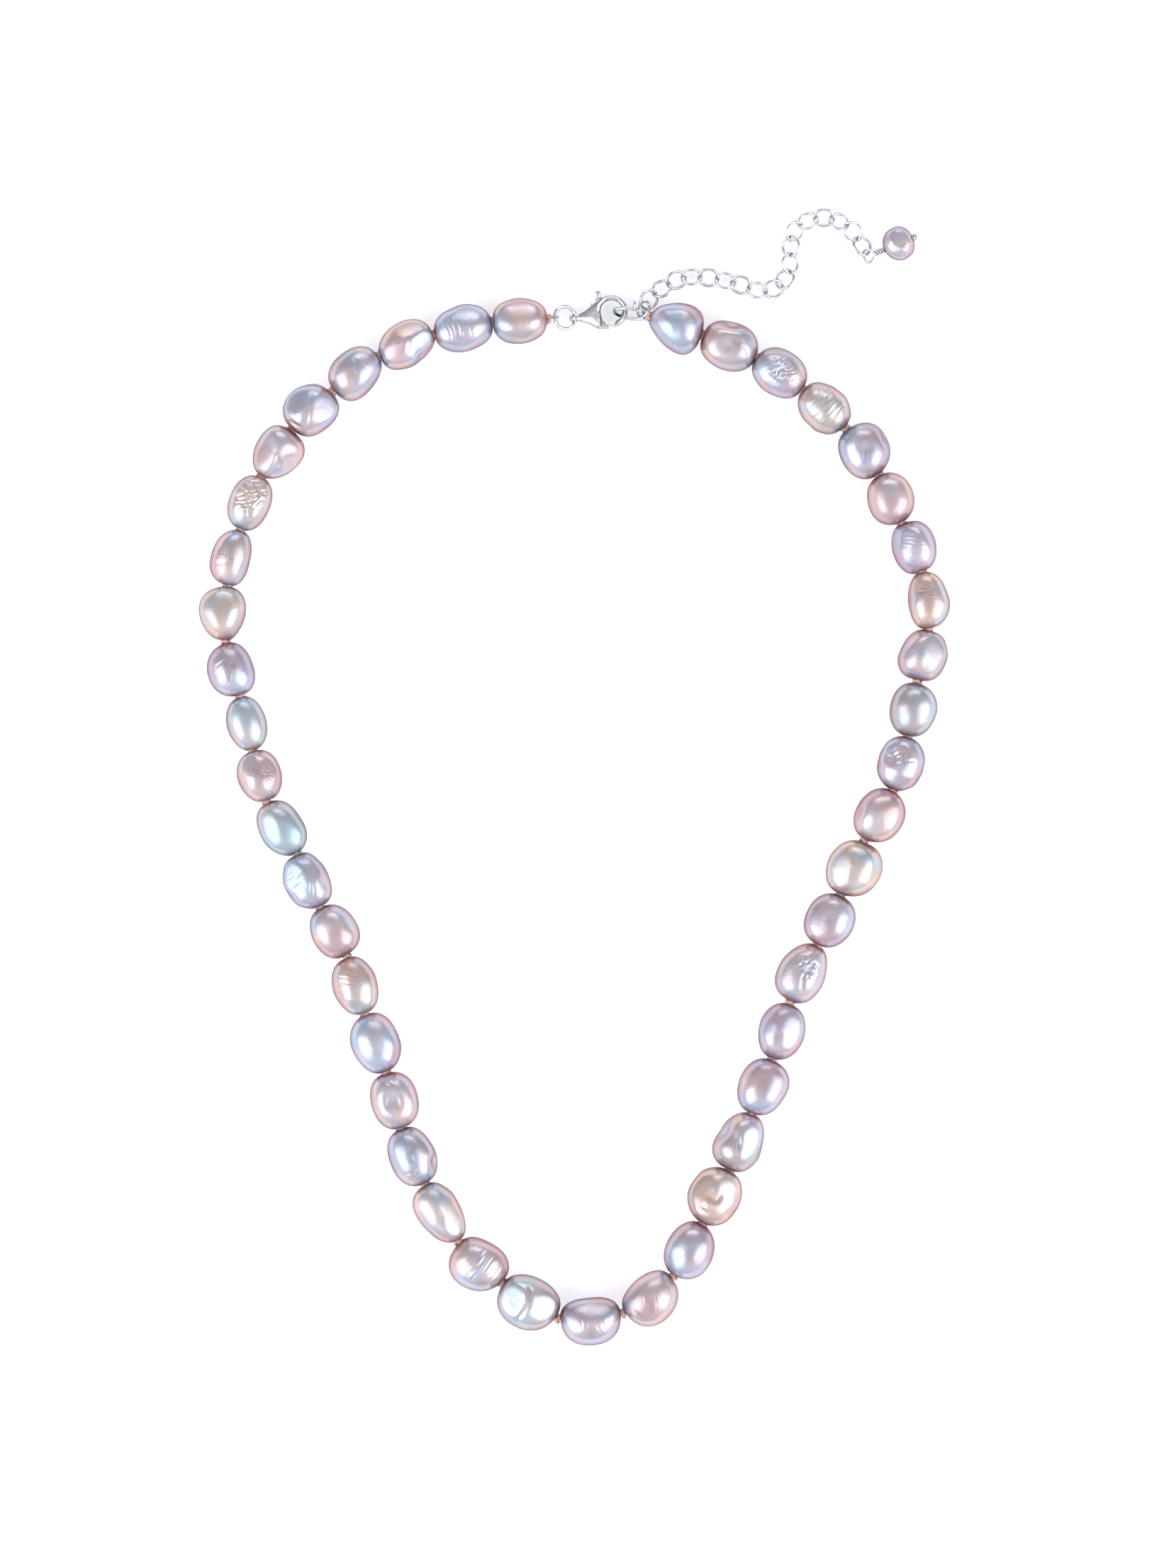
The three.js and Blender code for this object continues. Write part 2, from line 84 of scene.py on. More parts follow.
CHAIN_ROUTE = [
    (11.8, 79.95, 2.0), (14.2, 82.3, 1.5), (17.8, 84.6, 1.3), (20.7, 84.9, 1.3),
    (26.5, 84.1, 1.3), (31.9, 82.3, 1.3), (34.1, 82.6, 1.3), (36.0, 84.2, 1.3),
    (36.9, 86.8, 1.3), (36.8, 89.6, 1.3), (37.0, 92.1, 1.3), (38.6, 93.9, 1.3),
    (40.8, 94.9, 1.3), (43.8, 94.8, 1.3), (46.3, 93.7, 1.3), (48.0, 91.5, 1.3),
    (50.0, 88.5, 1.3),
]
SECTIONS, LINKS = 6, 3
LINK_LONG, LINK_SEEN, LINK_WIRE, LINK_TILT = 3.85, 3.65, 0.25, 33
JOINED_REACH, FREE_REACH = 0.44, 0.66
DROP_TURN, DROP_RISE, DROP_LOOP, DROP_WIRE = 21, 17, 1.05, 0.22
DROP_STEM, DROP_LONG, DROP_WIDE = 1.9, 5.2, 5.7

# the CAD centres itself on its own box, and this is by how much
first = next(j for j in frame["joints"] if j["name"] == "strand_spread")["pos_m"]
SHIFT = np.array([first[0] / MM - KNOTS[FRONT][0], first[1] / MM - KNOTS[FRONT][1], 0.0])

body_of = {}
for body_name, members in frame["record"]["behaviour"]["bodies"].items():
    for member in members:
        body_of[member] = body_name
hinged = {
    tuple(round(c / MM - s, 1) for c, s in zip(j["pos_m"][:2], SHIFT))
    for j in frame["joints"]
}


def pearl_node(n):
    if n == FRONT:
        return "pearl_centre"
    side, count = ("left", n + 1) if n < FRONT else ("right", COUNT - n)
    return f"pearl_{side}_{count:02d}"


# ---- colour ----


def rgb(code):
    """Linear colour of a #rrggbb code."""
    parts = [int(code[i : i + 2], 16) / 255 for i in (1, 3, 5)]
    return [c / 12.92 if c <= 0.04045 else ((c + 0.055) / 1.055) ** 2.4 for c in parts] + [1]


class Nodes:
    """A material's nodes, made and joined by short calls."""

    def __init__(self, name):
        self.material = bpy.data.materials.new(name)
        self.material.use_nodes = True
        self.tree = self.material.node_tree
        self.shader = self.tree.nodes["Principled BSDF"]
        self.place = self.add("ShaderNodeTexCoord").outputs["Object"]

    def add(self, kind, **values):
        node = self.tree.nodes.new(kind)
        for key, value in values.items():
            if key in node.inputs:
                node.inputs[key].default_value = value
            else:
                setattr(node, key, value)
        return node

    def join(self, source, target):
        self.tree.links.new(source, target)

    def noise(self, scale, detail=2.0, distortion=0.0, roughness=0.5):
        node = self.add(
            "ShaderNodeTexNoise", Scale=scale, Detail=detail, Distortion=distortion,
            Roughness=roughness,
        )
        self.join(self.place, node.inputs["Vector"])
        return node.outputs["Fac"]

    def ramp(self, source, stops, interpolation="EASE"):
        node = self.add("ShaderNodeValToRGB")
        node.color_ramp.interpolation = interpolation
        while len(node.color_ramp.elements) < len(stops):
            node.color_ramp.elements.new(0.5)
        for element, (position, colour) in zip(node.color_ramp.elements, stops):
            element.position = position
            element.color = colour
        self.join(source, node.inputs["Fac"])
        return node.outputs["Color"]

    def mix(self, fac, a, b, blend="MIX"):
        node = self.add("ShaderNodeMix", data_type="RGBA", blend_type=blend)
        for value, socket in ((fac, node.inputs[0]), (a, node.inputs[6]), (b, node.inputs[7])):
            if isinstance(value, (int, float, list)):
                socket.default_value = value
            else:
                self.join(value, socket)
        return node.outputs[2]

    def stretch(self, source, low, high, out_low, out_high):
        node = self.add("ShaderNodeMapRange")
        for key, value in zip(range(1, 5), (low, high, out_low, out_high)):
            node.inputs[key].default_value = value
        self.join(source, node.inputs[0])
        return node.outputs[0]

    def bump(self, height, strength, distance, under=None):
        node = self.add("ShaderNodeBump", Strength=strength, Distance=distance)
        self.join(height, node.inputs["Height"])
        if under is not None:
            self.join(under, node.inputs["Normal"])
        return node.outputs["Normal"]

    def set(self, **values):
        for key, value in values.items():
            self.shader.inputs[key.replace("_", " ")].default_value = value


def nacre(name, body, warm, cool):
    """Layered shell: cloudy colour, satin gloss, painted mauve shade where it turns sideways, rust spots,
    and painted shade along creases and folds.
    """
    m = Nodes(name)
    clouds = m.ramp(
        m.noise(230, 2.5, 0.6),
        [(0.34, rgb(warm)), (0.5, rgb(body)), (0.66, rgb(cool))],
    )
    pearly = m.ramp(
        m.noise(95, 1.0),
        [(0.36, rgb("#f3e4e4")), (0.5, rgb("#ffffff")), (0.64, rgb("#e8f0f4"))],
    )
    base = m.mix(0.8, clouds, pearly, "MULTIPLY")
    # rust spots are real stains; creases and folds add painted shade, and the centre-line creases paint the
    # dark reflected strip
    stain_and_shade = m.add("ShaderNodeAttribute", attribute_name="stain_and_shade").outputs["Fac"]
    base = m.mix(m.stretch(stain_and_shade, 0, 1, 0, 0.55), base, rgb("#a07f6e"))
    # painted shade: the rims, where the pearl turns sideways, are multiplied towards mauve as if in shade
    painted_rim_darkening = m.add("ShaderNodeAttribute", attribute_name="painted_rim_darkening").outputs["Fac"]
    base = m.mix(m.stretch(painted_rim_darkening, 0.25, 0.9, 0, 0.9), base, rgb("#cdb3ae"), "MULTIPLY")
    m.join(base, m.shader.inputs["Base Color"])
    m.join(m.stretch(m.noise(420, 3.0), 0.3, 0.7, 0.28, 0.4), m.shader.inputs["Roughness"])
    ripple = m.bump(m.noise(620, 3.0, 1.4), 0.28, 0.00012)
    fine = m.bump(m.noise(2600, 2.0, 0.4), 0.12, 0.00003, ripple)
    m.join(fine, m.shader.inputs["Normal"])
    m.set(
        Metallic=0.8, IOR=1.3, Specular_Tint=rgb("#9a7476"), Coat_Weight=0.1,
        Coat_Roughness=0.12, Coat_IOR=1.35,
    )
    return m.material


def metal(name, colour, rough, wear):
    m = Nodes(name)
    base = m.ramp(m.noise(700, 3.0), [(0.3, rgb(wear)), (0.62, rgb(colour))])
    # painted reflection: the sides are multiplied towards dark slate, as a dark surrounding would reflect
    # there
    painted_rim_darkening = m.add("ShaderNodeAttribute", attribute_name="painted_rim_darkening").outputs["Fac"]
    base = m.mix(m.stretch(painted_rim_darkening, 0.25, 0.85, 0, 0.96), base, rgb("#4f5d65"), "MULTIPLY")
    m.join(base, m.shader.inputs["Base Color"])
    m.join(
        m.stretch(m.noise(1500, 3.0), 0.3, 0.7, rough, rough + 0.09),
        m.shader.inputs["Roughness"],
    )
    m.join(m.bump(m.noise(1800, 2.0), 0.12, 0.00003), m.shader.inputs["Normal"])
    m.set(Metallic=1.0)
    return m.material


def silk():
    m = Nodes("silk_thread")
    base = m.ramp(m.noise(900, 2.0), [(0.35, rgb("#e3b3a2")), (0.65, rgb("#f6d3c6"))])
    m.join(base, m.shader.inputs["Base Color"])
    ply = m.add("ShaderNodeTexWave", Scale=2600, Distortion=2.0)
    m.join(m.place, ply.inputs["Vector"])
    m.join(m.bump(ply.outputs["Fac"], 0.5, 0.00004), m.shader.inputs["Normal"])
    m.set(Roughness=0.75, Sheen_Weight=0.4, Sheen_Roughness=0.4)
    return m.material


NACRE = {
    "lavender": nacre("nacre_lavender", "#d6d4e2", "#e2d5d8", "#cedbec"),
    "rose": nacre("nacre_rose", "#e2d5d9", "#e9d5ce", "#d5d9e8"),
    "cream": nacre("nacre_cream", "#e6dad5", "#ecdccd", "#d8dde5"),
    "mint": nacre("nacre_mint", "#d3dae0", "#ddd8da", "#cbdfe4"),
}
SILVER = metal("polished_silver", "#eff2f4", 0.07, "#dfe4e8")
STEEL = metal("spring_steel", "#9a9da0", 0.22, "#84888c")
SILK = silk()

# ---- forms ----


def grid_faces(rows, cols, wrap_rows=True):
    """Quads of a grid that closes round its columns, and round its rows too if asked."""
    r, c = np.meshgrid(np.arange(rows if wrap_rows else rows - 1), np.arange(cols), indexing="ij")
    down, over = (r + 1) % rows, (c + 1) % cols
    quads = np.stack([r * cols + c, r * cols + over, down * cols + over, down * cols + c], -1)
    return quads.reshape(-1, 4).tolist()


def outward(points, faces):
    """The same closed form, its faces turned to look outwards."""
    corners = [f[:3] for f in faces] + [[f[0], f[2], f[3]] for f in faces if len(f) == 4]
    a, b, c = (points[np.array(corners)[:, k]] for k in range(3))
    if np.einsum("ij,ij->i", a, np.cross(b, c)).sum() < 0:
        faces = [f[::-1] for f in faces]
    return points, faces


END_ROUNDING = ((0.55, 0.82), (0.85, 0.45))  # how far past a wire's end, and how thick there


def tube(path, radius, sides=12, closed=False, ply=0.0, twist=0.0):
    """A round wire along a path of points; an open one has rounded ends."""
    path = np.array(path, float)
    radii = np.full(len(path), radius)
    if not closed:
        start, stop = path[0], path[-1]
        back = (path[0] - path[1]) / np.linalg.norm(path[0] - path[1])
        on = (path[-1] - path[-2]) / np.linalg.norm(path[-1] - path[-2])
        for reach, share in END_ROUNDING:
            path = np.vstack([start + back * radius * reach, path, stop + on * radius * reach])
            radii = np.concatenate([[radius * share], radii, [radius * share]])
    count = len(path)
    ways = np.roll(path, -1, 0) - np.roll(path, 1, 0)
    if not closed:
        ways[0], ways[-1] = path[1] - path[0], path[-1] - path[-2]
    ways /= np.linalg.norm(ways, axis=1)[:, None]
    side = np.cross(ways[0], [0.31, 0.2, 0.93])
    side /= np.linalg.norm(side)
    angles = np.linspace(0, 2 * math.pi, sides, endpoint=False)
    rows = []
    run = 0.0
    for k in range(count):
        side = side - ways[k] * side.dot(ways[k])
        side /= np.linalg.norm(side)
        other = np.cross(ways[k], side)
        run += np.linalg.norm(path[k] - path[k - 1]) if k else 0
        r = radii[k] * (1 + ply * np.cos(2 * (angles - twist * run)))
        rows.append(
            path[k] + np.outer(np.cos(angles) * r, side) + np.outer(np.sin(angles) * r, other)
        )
    points = np.vstack(rows)
    faces = grid_faces(count, sides, closed)
    if not closed:
        points = np.vstack([points, path[0], path[-1]])
        low, high = count * sides, count * sides + 1
        last = (count - 1) * sides
        faces += [[low, (k + 1) % sides, k] for k in range(sides)]
        faces += [[high, last + k, last + (k + 1) % sides] for k in range(sides)]
    return outward(points, faces)


def moved(matrix, points):
    m = np.array(matrix)
    return np.asarray(points, float) @ m[:3, :3].T + m[:3, 3]


def oval(radius_x, radius_y, matrix, steps=64, start=0.0, stop=360.0):
    """Points round an oval in a matrix's XY plane."""
    whole = abs(stop - start) >= 360
    angles = np.radians(np.linspace(start, stop, steps, endpoint=not whole))
    flat = np.stack([radius_x * np.cos(angles), radius_y * np.sin(angles), 0 * angles], 1)
    return moved(matrix, flat)


def turn(axis, degrees):
    return Matrix.Rotation(math.radians(degrees), 4, axis)


def frame_of(x, y, at):
    """A matrix at a point, X along x and Y towards y."""
    x = Vector(x).normalized()
    z = x.cross(Vector(y)).normalized()
    m = Matrix((x, z.cross(x).normalized(), z)).transposed().to_4x4()
    m.translation = Vector(at)
    return m


def note_painted_rim_darkening(mesh):
    """Keeps how far each point looks sideways, as the mask for painted shade on pearl rims and painted dark
    reflection on silver sides.
    """
    normals = np.zeros(len(mesh.vertices) * 3, np.float32)
    mesh.vertices.foreach_get("normal", normals)
    sideways = 1 - np.abs(normals.reshape(-1, 3)[:, 2])
    mesh.attributes.new("painted_rim_darkening", "FLOAT", "POINT").data.foreach_set("value", sideways)


def build(name, parts, material, body, stain_and_shade=None):
    """One object of one or more closed forms, riding on a body."""
    faces, points, base = [], [], 0
    for part_points, part_faces in parts:
        points.append((part_points + SHIFT) * MM)
        faces += [[base + v for v in f] for f in part_faces]
        base += len(part_points)
    mesh = bpy.data.meshes.new(name)
    mesh.from_pydata(np.vstack(points).tolist(), [], faces)
    mesh.polygons.foreach_set("use_smooth", [True] * len(mesh.polygons))
    if stain_and_shade is not None:
        mesh.attributes.new("stain_and_shade", "FLOAT", "POINT").data.foreach_set("value", stain_and_shade)
    note_painted_rim_darkening(mesh)
    mesh.materials.append(material)
    made = bpy.data.objects.new(name, mesh)
    bpy.context.scene.collection.objects.link(made)
    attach(made, body)
    return made


# ---- pearls ----
# A pearl's marks are placed on its upper face as the eye sees it from above: x right, y up,
# in shares of its radius. Each mark takes the unit directions and gives how far the skin moves and how dark
# it is made: rust for a spot, painted shade for creases and folds.


def facing(x, y):
    return np.array([x, y, math.sqrt(max(1 - x * x - y * y, 0.02))])


def near(unit, x, y, size, power=2):
    away = np.linalg.norm(unit - facing(x, y), axis=1) / size
    return np.exp(-(away**power))


def dent(x, y, size, depth):
    return lambda unit: (-depth * near(unit, x, y, size), 0.0)


def spot(x, y, size, strength=0.7):
    return lambda unit: (-0.01 * near(unit, x, y, size), strength * near(unit, x, y, size))


def crease(x0, y0, x1, y1, width=0.09, depth=0.05, dark=0.4):
    """A groove with soft lips; a shallow one is made broader still. Its dark share is painted shade in the
    groove, and down a pearl's middle it paints the dark reflected strip between the softboxes.
    """
    width, depth = width * 1.5, 0.8 * depth * min(depth / 0.05, 1)

    def mark(unit):
        a, b = facing(x0, y0), facing(x1, y1)
        along = np.clip((unit - a) @ (b - a) / (b - a).dot(b - a), 0, 1)
        closest = a + np.outer(along, b - a)
        closest /= np.linalg.norm(closest, axis=1)[:, None]
        away = np.linalg.norm(unit - closest, axis=1)
        fade = np.clip(4 * along * (1 - along), 0, 1) ** 0.7
        line = np.exp(-((away / width) ** 2)) * fade
        lips = np.exp(-((away / (2.6 * width)) ** 2)) * fade
        return -depth * (line - 0.4 * lips), dark * line

    return mark


def rings(angle, wave, depth, x=0.0, y=0.0, size=0.7):
    """Growth rings: ripples one after another in a direction in degrees."""
    way = np.array([math.cos(math.radians(angle)), math.sin(math.radians(angle)), 0])
    side = np.array([-way[1], way[0], 0])

    def mark(unit):
        across = unit @ side
        place = unit @ way + 0.035 * np.sin(across * 3.1 + angle) + 0.012 * np.sin(across * 9 + angle)
        place = 2 * math.pi * place / wave
        ripple = np.sin(place + 1.5 * np.sin(place / 3.3 + across * 2 + angle))
        strength = 0.55 + 0.45 * np.sin(place / 2.3 + across * 5 + 2 * angle)
        return depth * ripple * strength * near(unit, x, y, size, 4), 0.0

    return mark


def crinkle(x, y, size, depth=0.035, cell=0.16, seed=1, dark=0.25):
    """A patch of fine crossing folds, their dark share painted shade in the folds."""
    rng = np.random.default_rng(seed)
    ways = rng.normal(size=(7, 3))
    ways /= np.linalg.norm(ways, axis=1)[:, None]
    phases = rng.uniform(0, 6.28, 7)

    def mark(unit):
        waves = np.sin(unit @ ways.T * (3.2 / cell) + phases).sum(1) / 3.0
        fold = np.exp(-((waves / 0.35) ** 2))
        patch = near(unit, x, y, size, 4)
        return -depth * (fold - 0.3) * patch, dark * fold * patch

    return mark


def lumps(seed, depth):
    """Broad unevenness all round, so no pearl is quite round from any side."""
    rng = np.random.default_rng(seed)
    ways = rng.normal(size=(9, 3)) * rng.uniform(1.3, 3.4, (9, 1))
    phases = rng.uniform(0, 6.28, 9)
    return lambda unit: (depth * np.sin(unit @ ways.T + phases).sum(1) / 3.0, 0.0)


def flat(x, y, depth, soft=0.05):
    """A softly cut face: the part beyond a plane is pressed back to it."""
    return ("flat", facing(x, y), depth, soft)


ROWS, COLS, BORE_ROWS = 92, 128, 5
BORE = 0.5


def pearl_form(start, end, width, low, high, shift, taper, lean, full, marks, seed, gaps):
    """A drilled baroque pearl between two knots, and for each point its rust stain and painted crease
    shade.
    """
    start, end = np.array([*start, THREAD_Z]), np.array([*end, THREAD_Z])
    pitch = np.linalg.norm(end - start)
    along = (end - start) / pitch
    across = np.array([-along[1], along[0], 0])
    up = np.array([0, 0, 1.0])
    tall, middle_z = high - low, (high + low) / 2 - THREAD_Z
    nearest = math.asin(min(BORE / (width / 2), 0.9) ** (1 / full))
    theta = np.linspace(nearest, math.pi - nearest, ROWS)
    phi = np.linspace(0, 2 * math.pi, COLS, endpoint=False)
    t, p = np.meshgrid(theta, phi, indexing="ij")
    s = -np.cos(t) / math.cos(nearest)
    s = np.sign(s) * np.abs(s) ** 0.96
    body = np.sin(t) ** full
    edge = body * width / 2
    skin = np.clip((edge - BORE) / 0.9, 0, 1)
    skin = skin * skin * (3 - 2 * skin)
    y = body * width / 2 * np.cos(p) * (1 + taper * s * skin)
    z = body * width / 2 * np.sin(p) * (1 + (tall / width - 1) * skin) * (1 + 0.5 * taper * s * skin)
    round_share = np.sqrt(np.clip(1 - s * s, 0, 1)) * skin
    half = np.where(s < 0, pitch / 2 - gaps[0], pitch / 2 - gaps[1])
    x = s * half + lean * y * round_share
    y = y + shift * round_share
    z = z + middle_z * round_share
    centre = (start + end) / 2 + across * shift * 0.7 + up * middle_z * 0.7
    points = (
        (start + end) / 2
        + x[..., None] * along + y[..., None] * across + z[..., None] * up
    ).reshape(-1, 3)
    skin = skin.reshape(-1)
    reach = points - centre
    size = (width / 2 + pitch / 2 - 0.2) / 2
    # per point darkening: rust spots, plus painted shade in creases and folds
    stain_and_shade = np.zeros(len(points))
    for mark in [lumps(seed, 0.022), *marks]:
        lengths = np.linalg.norm(reach, axis=1)
        if isinstance(mark, tuple):
            _, way, depth, soft = mark
            top = (reach @ way).max()
            over = (reach @ way - top * (1 - depth)) / (soft * size)
            press = soft * size * np.logaddexp(0, over) * skin
            reach = reach - np.outer(press, way)
        else:
            move, dark = mark(reach / lengths[:, None])
            reach = reach * (1 + move * skin / lengths * size)[:, None]
            stain_and_shade = np.maximum(stain_and_shade, dark * skin)
    outside = (reach + centre).reshape(ROWS, COLS, 3)
    mouth_in, mouth_out = outside[0], outside[-1]
    shares = np.linspace(0, 1, BORE_ROWS + 2)[1:-1]
    bore = np.stack([mouth_out + (mouth_in - mouth_out) * k for k in shares])
    points = np.concatenate([outside, bore]).reshape(-1, 3)
    points[:, 2] = np.maximum(points[:, 2], 0.01)
    stain_and_shade = np.concatenate([stain_and_shade, np.zeros(BORE_ROWS * COLS)])
    return outward(points, grid_faces(ROWS + BORE_ROWS, COLS)), stain_and_shade


